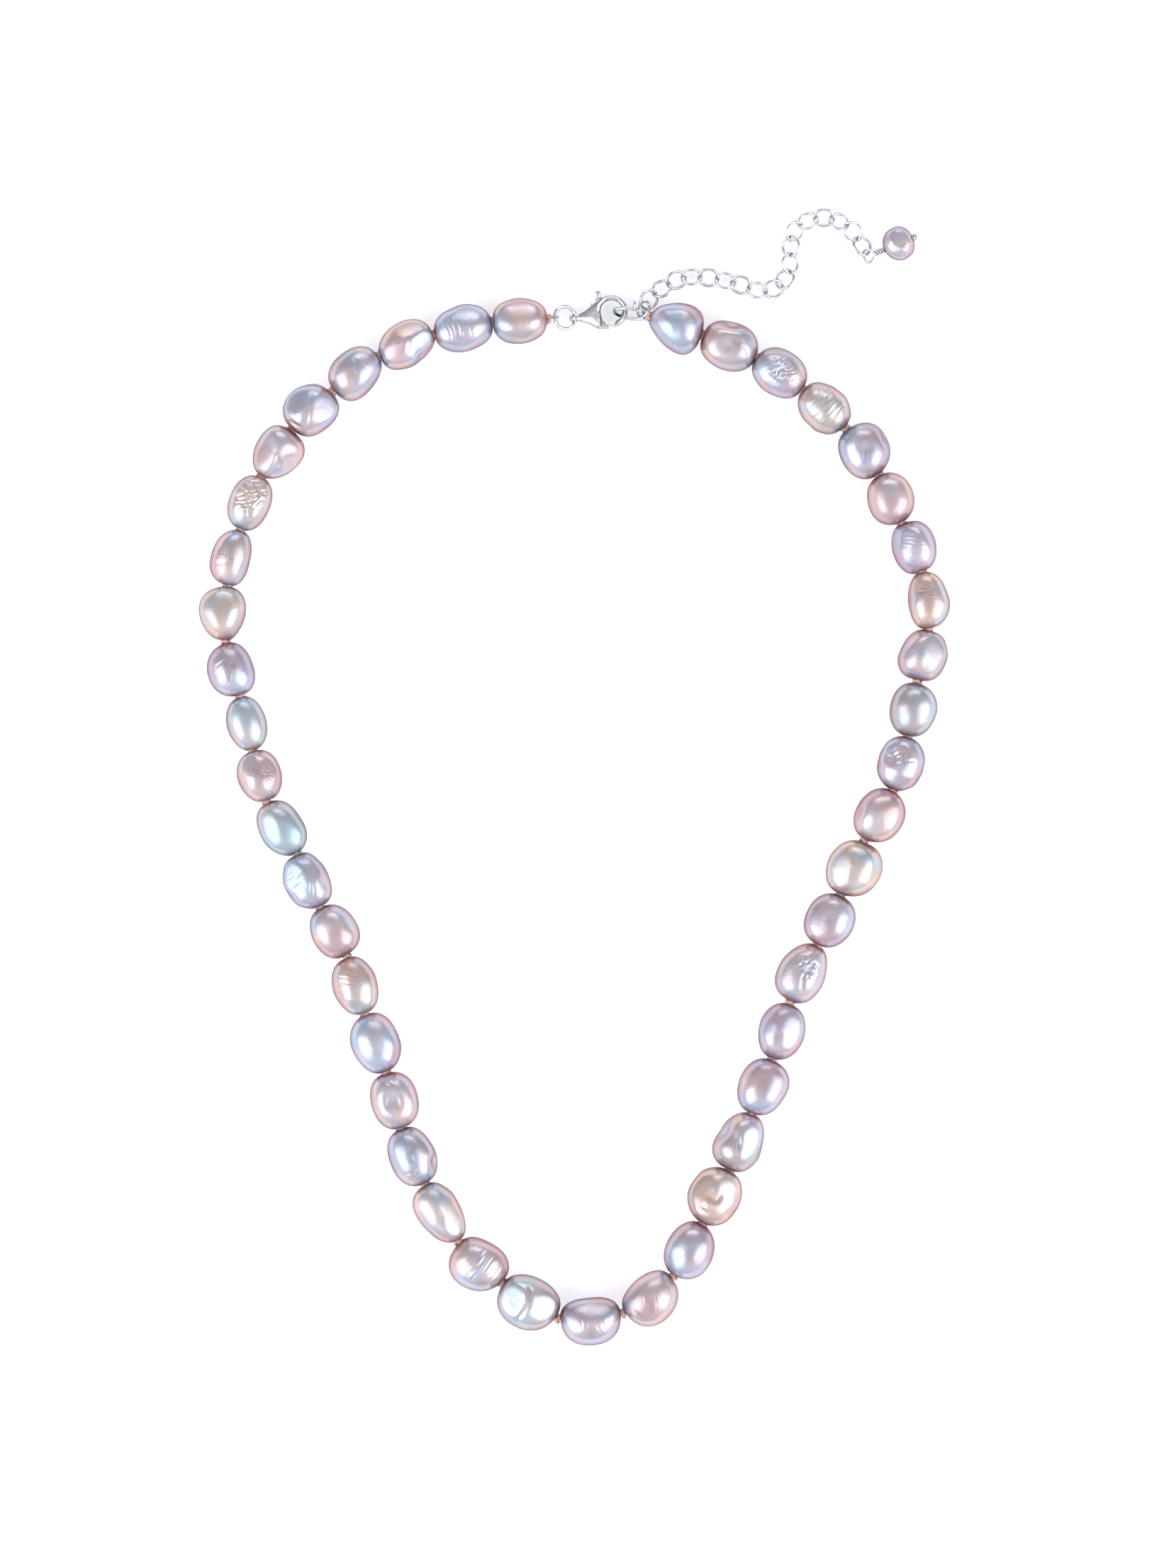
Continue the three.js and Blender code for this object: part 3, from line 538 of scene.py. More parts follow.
# width, shift, tint, taper (wider towards the next pearl), lean, fullness, marks
PEARLS = [
    # left side, from the clasp down to the front
    (7.7, 0.1, "rose", 0.02, 0.0, 0.82, [
        rings(5, 0.2, 0.006, 0.05, -0.1, 0.55), flat(0.0, 0.42, 0.06, 0.12),
        dent(0.0, -0.75, 0.4, 0.03)]),
    (7.8, 0.0, "lavender", -0.03, 0.05, 0.78, [
        rings(12, 0.19, 0.016, -0.25, 0.05, 0.75), flat(0.1, 0.5, 0.07, 0.08),
        crease(-0.3, -0.35, 0.05, -0.6, 0.1, 0.03)]),
    (7.7, -0.2, "rose", 0.0, 0.2, 0.82, [
        flat(0.52, -0.3, 0.14, 0.04), flat(0.75, -0.6, 0.1, 0.05),
        crease(0.2, 0.35, 0.12, -0.55, 0.1, 0.05), flat(-0.1, 0.55, 0.08, 0.06), dent(0.75, -0.55, 0.3, 0.05), spot(-0.3, 0.05, 0.1, 0.6)]),
    (7.9, -0.2, "lavender", 0.08, 0.12, 0.86, [
        crease(-0.05, 0.2, 0.0, -0.7, 0.12, 0.05), crease(-0.05, 0.2, -0.35, 0.45, 0.1, 0.03),
        crease(-0.05, 0.2, 0.35, 0.4, 0.1, 0.03), rings(60, 0.16, 0.008, 0.2, 0.3, 0.4)]),
    (8.7, -0.3, "lavender", 0.0, -0.1, 0.8, [
        flat(-0.42, 0.38, 0.12, 0.05), flat(0.5, 0.02, 0.12, 0.05),
        crease(-0.02, 0.1, -0.2, -0.75, 0.08, 0.06), crease(-0.02, 0.1, 0.1, 0.7, 0.08, 0.04),
        crease(-0.75, -0.4, -0.3, -0.75, 0.07, 0.07)]),
    (7.9, 0.2, "rose", -0.16, 0.0, 0.8, [
        flat(-0.55, 0.1, 0.1, 0.06), flat(0.45, -0.55, 0.16, 0.05),
        crease(0.05, 0.05, 0.12, -0.7, 0.08, 0.05), dent(0.75, -0.6, 0.4, 0.1)]),
    (7.1, -0.3, "cream", 0.0, 0.05, 0.85, [
        crinkle(0.12, 0.3, 0.7, 0.08, 0.2, 7, 0.35), crease(0.02, -0.2, 0.02, -0.75, 0.08, 0.05),
        flat(0.25, 0.3, 0.06, 0.06)]),
    (6.7, -0.6, "rose", 0.03, -0.05, 0.84, [
        crease(-0.75, -0.3, 0.0, -0.25, 0.08, 0.05), crease(0.02, 0.6, -0.03, -0.6, 0.06, 0.05, 0.75),
        rings(90, 0.17, 0.006, -0.4, 0.2, 0.4)]),
    (7.9, -0.8, "cream", -0.13, 0.0, 0.84, [
        flat(0.0, 0.35, 0.05, 0.1), crease(0.0, 0.0, -0.05, -0.6, 0.13, 0.02, 0.25)]),
    (7.9, -0.4, "lavender", 0.04, 0.0, 0.85, [
        rings(135, 0.17, 0.011, -0.35, 0.4, 0.5), crease(0.0, 0.1, 0.02, -0.6, 0.08, 0.05, 0.8),
        crease(0.0, 0.1, -0.3, 0.35, 0.08, 0.03, 0.5), crease(0.0, 0.1, 0.3, 0.3, 0.08, 0.03, 0.5)]),
    (6.7, 0.0, "mint", 0.0, 0.05, 0.86, [
        crease(0.05, 0.6, 0.05, -0.6, 0.12, 0.02, 0.15)]),
    (7.5, 0.1, "rose", -0.06, 0.0, 0.85, [
        flat(-0.3, 0.35, 0.08, 0.04), flat(0.4, 0.25, 0.09, 0.04),
        crease(-0.35, 0.55, 0.3, -0.05, 0.07, 0.04, 0.2), crinkle(0.4, 0.0, 0.3, 0.03, 0.13, 12),
        crease(0.05, 0.0, 0.0, -0.65, 0.08, 0.04)]),
    (7.6, 0.0, "mint", 0.0, 0.1, 0.86, [
        flat(-0.5, -0.1, 0.06, 0.1), crease(0.15, 0.3, 0.1, -0.55, 0.12, 0.02, 0.2)]),
    (7.6, -0.4, "lavender", 0.02, 0.06, 0.82, [
        flat(-0.45, 0.0, 0.14, 0.05), rings(-50, 0.2, 0.014, -0.4, 0.0, 0.55),
        crease(0.25, 0.2, 0.22, -0.7, 0.07, 0.07, 0.5)]),
    (8.0, 0.2, "rose", 0.07, 0.05, 0.84, [
        dent(0.85, 0.35, 0.4, 0.05), crease(0.0, 0.25, 0.05, -0.65, 0.13, 0.03, 0.45)]),
    (7.5, -0.2, "cream", 0.0, 0.0, 0.8, [
        rings(90, 0.14, 0.013, -0.35, 0.0, 0.62), crease(0.05, 0.5, 0.0, -0.7, 0.09, 0.04, 0.5),
        spot(0.0, -0.7, 0.16, 0.8)]),
    (8.2, 0.1, "lavender", 0.0, 0.0, 0.84, [
        crease(0.22, 0.35, 0.2, -0.6, 0.12, 0.03, 0.3)]),
    (8.2, 0.2, "rose", 0.02, 0.0, 0.83, [
        flat(0.0, 0.0, 0.1, 0.03), dent(0.0, 0.0, 0.34, 0.06), rings(70, 0.17, 0.009, 0.0, 0.6, 0.35),
        crease(-0.18, 0.25, -0.24, -0.4, 0.06, 0.04, 0.2), crease(0.2, 0.25, 0.26, -0.4, 0.06, 0.04, 0.2)]),
    (8.1, 0.0, "lavender", 0.08, 0.05, 0.83, [
        dent(0.92, -0.22, 0.32, 0.17), crease(0.05, 0.6, -0.08, 0.1, 0.07, 0.05, 0.5),
        crease(-0.08, 0.1, 0.15, -0.3, 0.07, 0.05, 0.5), crease(0.15, -0.3, 0.05, -0.75, 0.07, 0.05, 0.5),
        crinkle(0.0, -0.7, 0.3, 0.025, 0.14, 19, 0.1)]),
    (7.3, -0.4, "cream", -0.12, 0.12, 0.83, [
        flat(0.6, 0.1, 0.1, 0.06), crease(0.0, 0.3, 0.15, -0.55, 0.1, 0.03, 0.35)]),
    (8.9, -0.6, "rose", 0.0, 0.08, 0.8, [
        rings(-40, 0.17, 0.017, 0.15, 0.0, 0.75), spot(0.15, -0.7, 0.2, 0.8)]),
    (9.1, -0.5, "mint", 0.0, 0.1, 0.8, [
        flat(-0.35, 0.15, 0.12, 0.03), flat(0.4, 0.0, 0.09, 0.05),
        crease(0.0, 0.75, 0.05, 0.1, 0.06, 0.07, 0.35), crease(0.05, 0.1, -0.45, -0.6, 0.06, 0.07, 0.35)]),
    # the front pearl
    (8.3, -0.9, "lavender", 0.0, 0.0, 0.76, [
        rings(0, 0.17, 0.013, 0.0, 0.1, 0.5), flat(0.0, 0.62, 0.08, 0.07),
        rings(35, 0.15, 0.01, 0.55, -0.1, 0.4), crease(0.0, -0.1, 0.0, -0.7, 0.14, 0.03, 0.6)]),
    # right side, from the front up to the clasp
    (8.4, -0.9, "rose", 0.02, 0.05, 0.82, [
        rings(0, 0.13, 0.013, 0.0, -0.05, 0.5), crease(-0.65, -0.35, -0.15, -0.75, 0.07, 0.05, 0.4),
        crease(0.0, 0.1, 0.0, -0.6, 0.14, 0.02, 0.6)]),
    (8.2, -0.3, "lavender", 0.0, 0.06, 0.85, [
        crease(0.0, 0.25, 0.03, -0.65, 0.12, 0.03, 0.6)]),
    (8.9, 0.4, "cream", 0.02, 0.0, 0.82, [
        flat(-0.45, 0.3, 0.09, 0.04), flat(0.5, 0.1, 0.08, 0.06), dent(0.0, 0.0, 0.26, 0.08),
        crease(-0.3, 0.1, 0.0, -0.25, 0.07, 0.06, 0.6), crease(0.0, -0.25, 0.3, 0.2, 0.07, 0.05, 0.5),
        crease(-0.7, -0.3, -0.2, -0.6, 0.08, 0.05, 0.3)]),
    (8.1, 0.3, "rose", -0.12, -0.08, 0.81, [
        dent(-0.78, 0.5, 0.5, 0.2), dent(-0.4, 0.3, 0.4, 0.05), flat(0.5, 0.0, 0.1, 0.05),
        crease(0.02, 0.65, -0.12, -0.7, 0.07, 0.08, 0.75)]),
    (8.3, -0.2, "lavender", 0.0, -0.08, 0.79, [
        crease(0.05, 0.5, -0.1, -0.6, 0.12, 0.03, 0.45)]),
    (7.8, -0.2, "lavender", 0.03, 0.0, 0.85, [
        flat(0.45, 0.0, 0.09, 0.08), crease(-0.3, 0.6, -0.1, 0.4, 0.06, 0.04, 0.1),
        crease(-0.15, 0.0, -0.25, -0.65, 0.1, 0.04, 0.5)]),
    (7.9, 0.4, "rose", -0.12, -0.05, 0.84, [
        crinkle(0.2, 0.3, 0.46, 0.08, 0.17, 30, 0.4), dent(0.2, 0.3, 0.38, 0.09),
        crease(-0.08, 0.5, -0.1, 0.1, 0.05, 0.05, 0.3), crease(0.0, 0.0, -0.05, -0.7, 0.07, 0.06, 0.6)]),
    (8.4, -0.1, "lavender", 0.0, -0.05, 0.83, [
        flat(-0.35, 0.2, 0.06, 0.1), crease(0.05, 0.4, -0.05, -0.6, 0.1, 0.03, 0.35)]),
    (9.0, -0.3, "cream", 0.0, -0.05, 0.78, [
        flat(-0.5, 0.1, 0.08, 0.05), crease(-0.1, 0.65, 0.0, 0.1, 0.07, 0.04, 0.3),
        crease(0.0, 0.1, -0.1, -0.6, 0.09, 0.04, 0.4), spot(-0.35, -0.7, 0.2, 0.75)]),
    (8.3, -0.1, "rose", 0.0, -0.06, 0.84, [
        dent(-0.92, 0.1, 0.42, 0.13), crease(0.0, 0.1, -0.02, -0.6, 0.12, 0.03, 0.3)]),
    (7.9, -0.1, "lavender", 0.02, 0.0, 0.83, [
        dent(-0.3, 0.35, 0.5, 0.14), crinkle(-0.3, 0.35, 0.45, 0.04, 0.2, 34, 0.2),
        crease(0.05, 0.7, 0.08, -0.1, 0.06, 0.08, 0.5), crease(0.08, 0.1, 0.6, 0.1, 0.04, 0.04, 0.3)]),
    (8.0, -0.1, "mint", 0.0, 0.0, 0.86, [
        crease(0.05, 0.0, 0.0, -0.6, 0.13, 0.02, 0.25)]),
    (8.2, -0.1, "rose", -0.08, -0.1, 0.84, [
        flat(0.45, 0.1, 0.1, 0.06), crease(-0.35, 0.5, 0.05, -0.2, 0.09, 0.03, 0.2),
        crease(0.05, -0.2, 0.1, -0.65, 0.1, 0.03, 0.35)]),
    (6.9, -0.6, "cream", -0.08, 0.0, 0.84, [
        rings(90, 0.15, 0.011, 0.0, 0.55, 0.5), spot(-0.35, 0.4, 0.2, 0.8),
        crease(0.0, 0.2, 0.0, -0.6, 0.1, 0.03, 0.4)]),
    (7.6, -0.5, "lavender", 0.0, -0.1, 0.83, [
        flat(-0.85, 0.1, 0.14, 0.05), flat(-0.5, 0.1, 0.08, 0.05),
        rings(90, 0.13, 0.009, -0.1, 0.1, 0.6), crease(0.0, 0.4, 0.0, -0.5, 0.1, 0.02, 0.3)]),
    (8.0, -0.1, "rose", 0.0, -0.05, 0.86, [
        crease(0.05, 0.1, 0.0, -0.6, 0.14, 0.02, 0.25)]),
    (8.7, -0.5, "lavender", 0.0, -0.05, 0.83, [
        dent(0.8, 0.5, 0.35, 0.1), dent(0.0, 0.05, 0.24, 0.05),
        crease(0.0, 0.0, 0.02, -0.65, 0.08, 0.05, 0.6)]),
    (7.8, -0.1, "cream", 0.0, 0.0, 0.8, [
        rings(-45, 0.17, 0.015, 0.05, 0.0, 0.8), crease(0.0, 0.0, 0.02, -0.6, 0.1, 0.03, 0.4)]),
    (7.9, -0.2, "lavender", 0.0, 0.05, 0.83, [
        dent(0.05, 0.05, 0.42, 0.11), crinkle(0.05, 0.05, 0.55, 0.085, 0.17, 42, 0.5),
        rings(40, 0.14, 0.01, 0.55, -0.15, 0.4)]),
    (8.4, -0.1, "rose", 0.0, 0.05, 0.8, [
        dent(0.1, 0.9, 0.42, 0.16), dent(-0.1, -0.1, 0.34, 0.08),
        crease(0.0, 0.35, 0.45, -0.05, 0.1, 0.05, 0.25), crease(0.45, -0.05, 0.7, -0.45, 0.07, 0.04, 0.2),
        rings(30, 0.16, 0.01, 0.5, 0.0, 0.4)]),
    (8.0, 0.1, "lavender", -0.3, -0.1, 0.86, [
        crease(0.0, 0.25, 0.05, -0.55, 0.12, 0.04, 0.3), crease(0.0, 0.25, -0.35, 0.35, 0.1, 0.03, 0.15),
        crease(0.0, 0.25, 0.4, 0.35, 0.1, 0.03, 0.15)]),
]


FRONT_GAP, HINGE_GAP, STILL_GAP = 0.42, 0.24, 0.1
FULLER = 0.03  # added to every pearl's fullness


def gap_at(k):
    """Half the room at a knot: a knot that turns needs more than one that doesn't."""
    if k in (FRONT, FRONT + 1, FRONT + 2):
        return FRONT_GAP
    return HINGE_GAP if KNOTS[k] in hinged or k in (0, COUNT) else STILL_GAP


for n, (width, shift, tint, taper, lean, full, marks) in enumerate(PEARLS):
    node = pearl_node(n)
    lowest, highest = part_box(node)
    form, stain_and_shade = pearl_form(
        KNOTS[n], KNOTS[n + 1], width, lowest.z / MM, highest.z / MM, shift, taper, lean,
        full + FULLER, marks, 100 + n, (gap_at(n), gap_at(n + 1)),
    )
    made = build(
        node.replace("pearl", "nacre_pearl"), [form], NACRE[tint], body_of[node],
        stain_and_shade,
    )
    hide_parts(node)

# ---- silk thread, one length on each body, with an overhand knot at every gap ----


THREAD, LEAD, LOOP_THREAD = 0.2, 0.14, 0.12
KNOT_THREAD, KNOT_OUT, KNOT_DEEP = 0.24, 0.72, 0.2
LOOP = 0.72


def knot_form(k):
    """A trefoil of thread square to the strand."""
    before, after = KNOTS[max(k - 1, 0)], KNOTS[min(k + 1, COUNT)]
    way = (after[0] - before[0], after[1] - before[1], 0)
    place = frame_of(way, (0, 0, 1), (*KNOTS[k], THREAD_Z))
    t = np.linspace(0, 2 * math.pi, 72, endpoint=False)
    out = (2 + np.cos(3 * t)) / 3
    bound = np.stack([
        KNOT_DEEP * np.sin(3 * t),
        KNOT_OUT * out * np.cos(2 * t + k),
        KNOT_OUT * out * np.sin(2 * t + k),
    ], 1)
    return tube(moved(place, bound), KNOT_THREAD, 10, closed=True)


def thread_path(n):
    a, b = np.array([*KNOTS[n], THREAD_Z]), np.array([*KNOTS[n + 1], THREAD_Z])
    steps = int(np.linalg.norm(b - a) / 0.35)
    return [a + (b - a) * k / steps for k in range(steps + 1)]


jump_frame = Matrix.Translation(JUMP_AT) @ turn("Y", JUMP_TILT)
tail_frame = Matrix.Translation(TAIL_AT) @ turn("Z", TAIL_TURN) @ turn("X", TAIL_TILT)
left_loop = jump_frame @ Vector((-JUMP_RADIUS, 0, 0)) + Vector((-0.1, 0, 0.03))
right_loop = tail_frame @ Vector((TAIL_LONG, 0, 0)) + Vector((0.1, 0, 0))
left_frame = Matrix.Translation(left_loop) @ turn("X", 90)
tail_x = tail_frame.to_3x3() @ Vector((1, 0, 0))
tail_y = tail_frame.to_3x3() @ Vector((0, 1, 0))
right_frame = frame_of(tail_x, tail_y.cross(tail_x), right_loop)
left_lead = [Vector((*KNOTS[0], THREAD_Z)), left_loop + Vector((-0.51, 0, 0.51))]
right_lead = [
    Vector((*KNOTS[COUNT], THREAD_Z)),
    Vector((KNOTS[COUNT][0] + 0.07, KNOTS[COUNT][1] + 0.05, 3.0)),
    right_loop + Vector((0.66, -0.1, 0.15)),
]

lengths = {}
for n in range(COUNT):
    lengths.setdefault(body_of[pearl_node(n)], []).append(n)
for body, run in lengths.items():
    path = [p for n in run for p in thread_path(n)[: None if n == run[-1] else -1]]
    forms = [tube(path, THREAD, 12, ply=0.12, twist=5.0)]
    for k in range(COUNT + 1):
        if body_of[pearl_node(k if k <= FRONT else k - 1)] == body:
            forms.append(knot_form(k))
    if 0 in run:
        forms.append(tube([tuple(p) for p in left_lead], LEAD))
        forms.append(tube(oval(LOOP, LOOP, left_frame, 48), LOOP_THREAD, 10, closed=True))
    if COUNT - 1 in run:
        forms.append(tube([tuple(p) for p in right_lead], LEAD))
        forms.append(tube(oval(LOOP, LOOP, right_frame, 48), LOOP_THREAD, 10, closed=True))
    made = build(f"silk_{body}", forms, SILK, body)
    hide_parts("silk_thread")


def coil(path, radius, wire, pitch):
    """Fine wire wound tightly round a path of points."""
    path = np.array([tuple(p) for p in path], float)
    steps = np.linalg.norm(np.diff(path, axis=0), axis=1)
    run = np.concatenate([[0], np.cumsum(steps)])
    count = int(run[-1] / pitch * 14)
    at = np.linspace(0, run[-1], count)
    middle = np.stack([np.interp(at, run, path[:, k]) for k in range(3)], 1)
    ways = np.gradient(middle, axis=0)
    ways /= np.linalg.norm(ways, axis=1)[:, None]
    side = np.cross(ways[0], [0.2, 0.9, 0.37])
    wound = []
    for k in range(count):
        side = side - ways[k] * side.dot(ways[k])
        side = side / np.linalg.norm(side)
        angle = 2 * math.pi * at[k] / pitch
        out = side * math.cos(angle) + np.cross(ways[k], side) * math.sin(angle)
        wound.append(middle[k] + radius * out)
    return tube(wound, wire, 6)


for name, lead, loop_frame, node in (
    ("gimp_left", left_lead, left_frame, pearl_node(0)),
    ("gimp_right", right_lead, right_frame, pearl_node(COUNT - 1)),
):
    around = oval(LOOP, LOOP, loop_frame, 60, 0, 350)
    nearest = min(range(len(around)), key=lambda k: (Vector(around[k]) - lead[-1]).length)
    around = np.roll(around, -nearest, 0)
    wound = [coil(around, 0.15, 0.045, 0.105)]
    knot_to_loop = [lead[0].lerp(lead[1], 0.45), *lead[1:]]
    wound.append(coil(knot_to_loop, 0.17, 0.045, 0.105))
    build(name, wound, SILVER, body_of[node])

# ---- rings, chain and drop ----

made = build(
    "silver_jump_ring",
    [tube(oval(JUMP_RADIUS, JUMP_RADIUS, jump_frame, 96, 62, 418), JUMP_WIRE, 18)],
    SILVER, body_of["jump_ring"],
)
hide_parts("jump_ring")
made = build(
    "silver_tail_ring", [tube(oval(TAIL_LONG, TAIL_SHORT, tail_frame, 112), TAIL_WIRE, 18, closed=True)],
    SILVER, body_of["tail_ring"],
)
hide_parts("tail_ring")

on_tail = math.radians(35)
tail_point = tail_frame @ Vector((TAIL_LONG * math.cos(on_tail), TAIL_SHORT * math.sin(on_tail), 0))
tail_way = tail_frame.to_3x3() @ Vector(
    (-TAIL_LONG * math.sin(on_tail), TAIL_SHORT * math.cos(on_tail), 0)
)
to_chain = (Vector(CHAIN_ROUTE[0]) - tail_point).normalized()
chain_ring_frame = frame_of(to_chain, tail_way.cross(to_chain), (tail_point + Vector(CHAIN_ROUTE[0])) / 2)
made = build(
    "silver_chain_ring",
    [tube(oval(CHAIN_RING_RADIUS, CHAIN_RING_RADIUS, chain_ring_frame, 72, 95, 451), CHAIN_RING_WIRE, 14)],
    SILVER, body_of["chain_ring"],
)
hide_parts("chain_ring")


def spline(points, count):
    """Evenly spaced points on a centripetal curve through the given ones."""
    points = [np.array(p) for p in points]
    points = [2 * points[0] - points[1], *points, 2 * points[-1] - points[-2]]
    dense = []
    for p0, p1, p2, p3 in zip(points, points[1:], points[2:], points[3:]):
        d0, d1, d2 = (math.sqrt(np.linalg.norm(b - a)) for a, b in ((p0, p1), (p1, p2), (p2, p3)))
        t1 = ((p1 - p0) / d0 - (p2 - p0) / (d0 + d1) + (p2 - p1) / d1) * d1
        t2 = ((p2 - p1) / d1 - (p3 - p1) / (d1 + d2) + (p3 - p2) / d2) * d1
        for t in np.linspace(0, 1, 200, endpoint=False):
            dense.append(
                p1 + t1 * t + (3 * (p2 - p1) - 2 * t1 - t2) * t * t + (2 * (p1 - p2) + t1 + t2) * t**3
            )
    dense = np.array([*dense, points[-2]])
    run = np.concatenate([[0], np.cumsum(np.linalg.norm(np.diff(dense, axis=0), axis=1))])
    at = np.linspace(0, run[-1], count)
    return np.stack([np.interp(at, run, dense[:, k]) for k in range(3)], 1)


def reach_before(n):
    return FREE_REACH if n % LINKS == 0 else JOINED_REACH


samples = spline(CHAIN_ROUTE, 4001)
places, at = [samples[0]], 1
for n in range(SECTIONS * LINKS):
    step = LINK_LONG - 2 * LINK_WIRE - (reach_before(n) + reach_before(n + 1)) / 2
    while np.linalg.norm(samples[at] - places[-1]) < step:
        at += 1
    places.append(samples[at])

for n in range(SECTIONS * LINKS):
    along = Vector(places[n + 1] - places[n]).normalized()
    level = Vector((-along.y, along.x, 0)).normalized()
    tilt = LINK_TILT if n % 2 == 0 else -LINK_TILT
    across = Matrix.Rotation(math.radians(tilt), 3, along) @ level
    half = LINK_LONG / 2 - LINK_WIRE
    centre = Vector(places[n]) + along * (half - reach_before(n) / 2)
    link_frame = frame_of(along, across, centre)
    path = oval(half, LINK_SEEN / 2 - LINK_WIRE, link_frame, 64)
    node = f"chain_section_{n // LINKS + 1}"
    made = build(
        f"curb_link_{n + 1:02d}", [tube(path, LINK_WIRE, 14, closed=True)], SILVER, body_of[node]
    )
    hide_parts(node)

way = Vector(places[-1] - places[-2]).normalized()
drop_at = Vector(places[-1]) + way * (FREE_REACH / 2 + DROP_LOOP - (LINK_WIRE + DROP_WIRE + 0.2))
drop_frame = Matrix.Translation(drop_at) @ turn("Z", DROP_TURN) @ turn("Y", -DROP_RISE)
pearl_start = DROP_LOOP + DROP_STEM
tip = pearl_start + DROP_LONG + 0.5

angles = np.radians(np.linspace(18, 342, 60))
pull = 1 + 0.1 * np.cos(3 * angles)
loop = np.stack([DROP_LOOP * pull * np.cos(angles), DROP_LOOP * pull * np.sin(angles), 0 * angles], 1)
stem = [(DROP_LOOP + 0.25, 0.0, 0.0), (tip - 0.4, 0.0, 0.0)]
pin_path = moved(drop_frame, np.vstack([loop, [(DROP_LOOP + 0.12, 0.05, 0.0)], stem]))
wrapped = [(DROP_LOOP + 0.3, 0, 0), (DROP_LOOP + DROP_STEM - 0.2, 0, 0)]
wraps = coil(moved(drop_frame, wrapped), 0.38, 0.19, 0.44)
curl = []
for a in np.linspace(0, 6.2, 60):
    inwards = 1 - 0.02 * a
    across, above = 0.42 * math.cos(a * 1.9) * inwards, 0.42 * math.sin(a * 1.9) * inwards
    curl.append((tip - 0.45 + 0.1 * a, across, above))
made = build(
    "silver_headpin",
    [tube(pin_path, DROP_WIRE, 14), wraps, tube(moved(drop_frame, curl), 0.17, 10)],
    SILVER, body_of["drop_headpin"],
)
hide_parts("drop_headpin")


def drop_form():
    """The small end pearl, made flat along X and then turned to hang."""
    marks = [
        crinkle(0.3, -0.5, 0.4, 0.035, 0.17, 71, 0.2), crease(-0.05, 0.5, 0.05, -0.2, 0.07, 0.04, 0.6),
        crease(0.1, -0.15, 0.6, -0.25, 0.07, 0.05, 0.3), flat(0.35, 0.1, 0.07, 0.06),
    ]
    low = THREAD_Z - DROP_WIDE * 0.475
    form, stain_and_shade = pearl_form(
        (0, 0), (DROP_LONG + 0.4, 0), DROP_WIDE, low, low + DROP_WIDE * 0.95, 0, 0.05, 0, 0.86,
        marks, 170, (0.2, 0.2),
    )
    points, faces = form
    local = points - np.array([0, 0, THREAD_Z]) + np.array([pearl_start - 0.2, 0, 0])
    return (moved(drop_frame, local), faces), stain_and_shade


form, stain_and_shade = drop_form()
made = build(
    "nacre_drop_pearl", [form], NACRE["lavender"], body_of["drop_pearl"], stain_and_shade
)
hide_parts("drop_pearl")

# a small squared tag ring on the tail ring's upper wire
tag_turn = math.radians(78)
tag_point = tail_frame @ Vector((TAIL_LONG * math.cos(tag_turn), TAIL_SHORT * math.sin(tag_turn), 0))
tag_way = tail_frame.to_3x3() @ Vector(
    (-TAIL_LONG * math.sin(tag_turn), TAIL_SHORT * math.cos(tag_turn), 0)
)
tag_along = Vector((0.1, 1, 0.35))
tag_frame = frame_of(
    tag_along, tag_along.cross(tag_way) * -1, tag_point + Vector((0.05, 0.55, 0.2))
)
t = np.linspace(0, 2 * math.pi, 48, endpoint=False)
square = (np.abs(np.cos(t)) ** 3 + np.abs(np.sin(t)) ** 3) ** (-1 / 3)
tag = np.stack([0.72 * square * np.cos(t), 0.66 * square * np.sin(t), 0 * t], 1)
build(
    "silver_tag_ring", [tube(moved(tag_frame, tag), 0.19, 12, closed=True)], SILVER,
    body_of["tail_ring"],
)

# ---- clasp: cast and tumbled, so every edge is rounded ----

CLASP = np.array([0.5, 77.8, 0.0])
THICK, PIVOT, GATE_REACH = 2.8, (3.1, 0.9), 3.63
HOOK_MIDDLE, HOOK_IN, HOOK_OUT = (5.9, 1.2), 1.83, 2.75
NOSE_ROOM = 0.16  # between the gate's sweep and the hook's nose


def arc(middle, radius, start, stop, steps):
    angles = np.radians(np.linspace(start, stop, steps))
    return [(middle[0] + radius * math.cos(a), middle[1] + radius * math.sin(a)) for a in angles]


def smooth_line(points, count):
    return spline([(x, y, 0.0) for x, y in points], count)[:, :2].tolist()


def prism(outline, low, high):
    """A closed upright form over a plan outline in the clasp's own millimetres."""
    count = len(outline)
    plan = np.array(outline, float)
    points = np.vstack([
        np.column_stack([plan, np.full(count, low)]), np.column_stack([plan, np.full(count, high)])
    ]) + CLASP
    faces = [[k, (k + 1) % count, count + (k + 1) % count, count + k] for k in range(count)]
    faces += [list(range(count))[::-1], [count + k for k in range(count)]]
    return outward(points, faces)


def solid(name, parts):
    """A loose object in plain millimetres, to be cut and remeshed."""
    points, faces = [], []
    for part_points, part_faces in parts:
        base = len(points)
        points += (part_points + SHIFT).tolist()
        faces += [tuple(base + v for v in f) for f in part_faces]
    mesh = bpy.data.meshes.new(name)
    mesh.from_pydata(points, [], faces)
    made = bpy.data.objects.new(name, mesh)
    bpy.context.scene.collection.objects.link(made)
    return made


def applied(made):
    done = bpy.data.meshes.new_from_object(made.evaluated_get(bpy.context.evaluated_depsgraph_get()))
    made.modifiers.clear()
    made.data = done
    return done


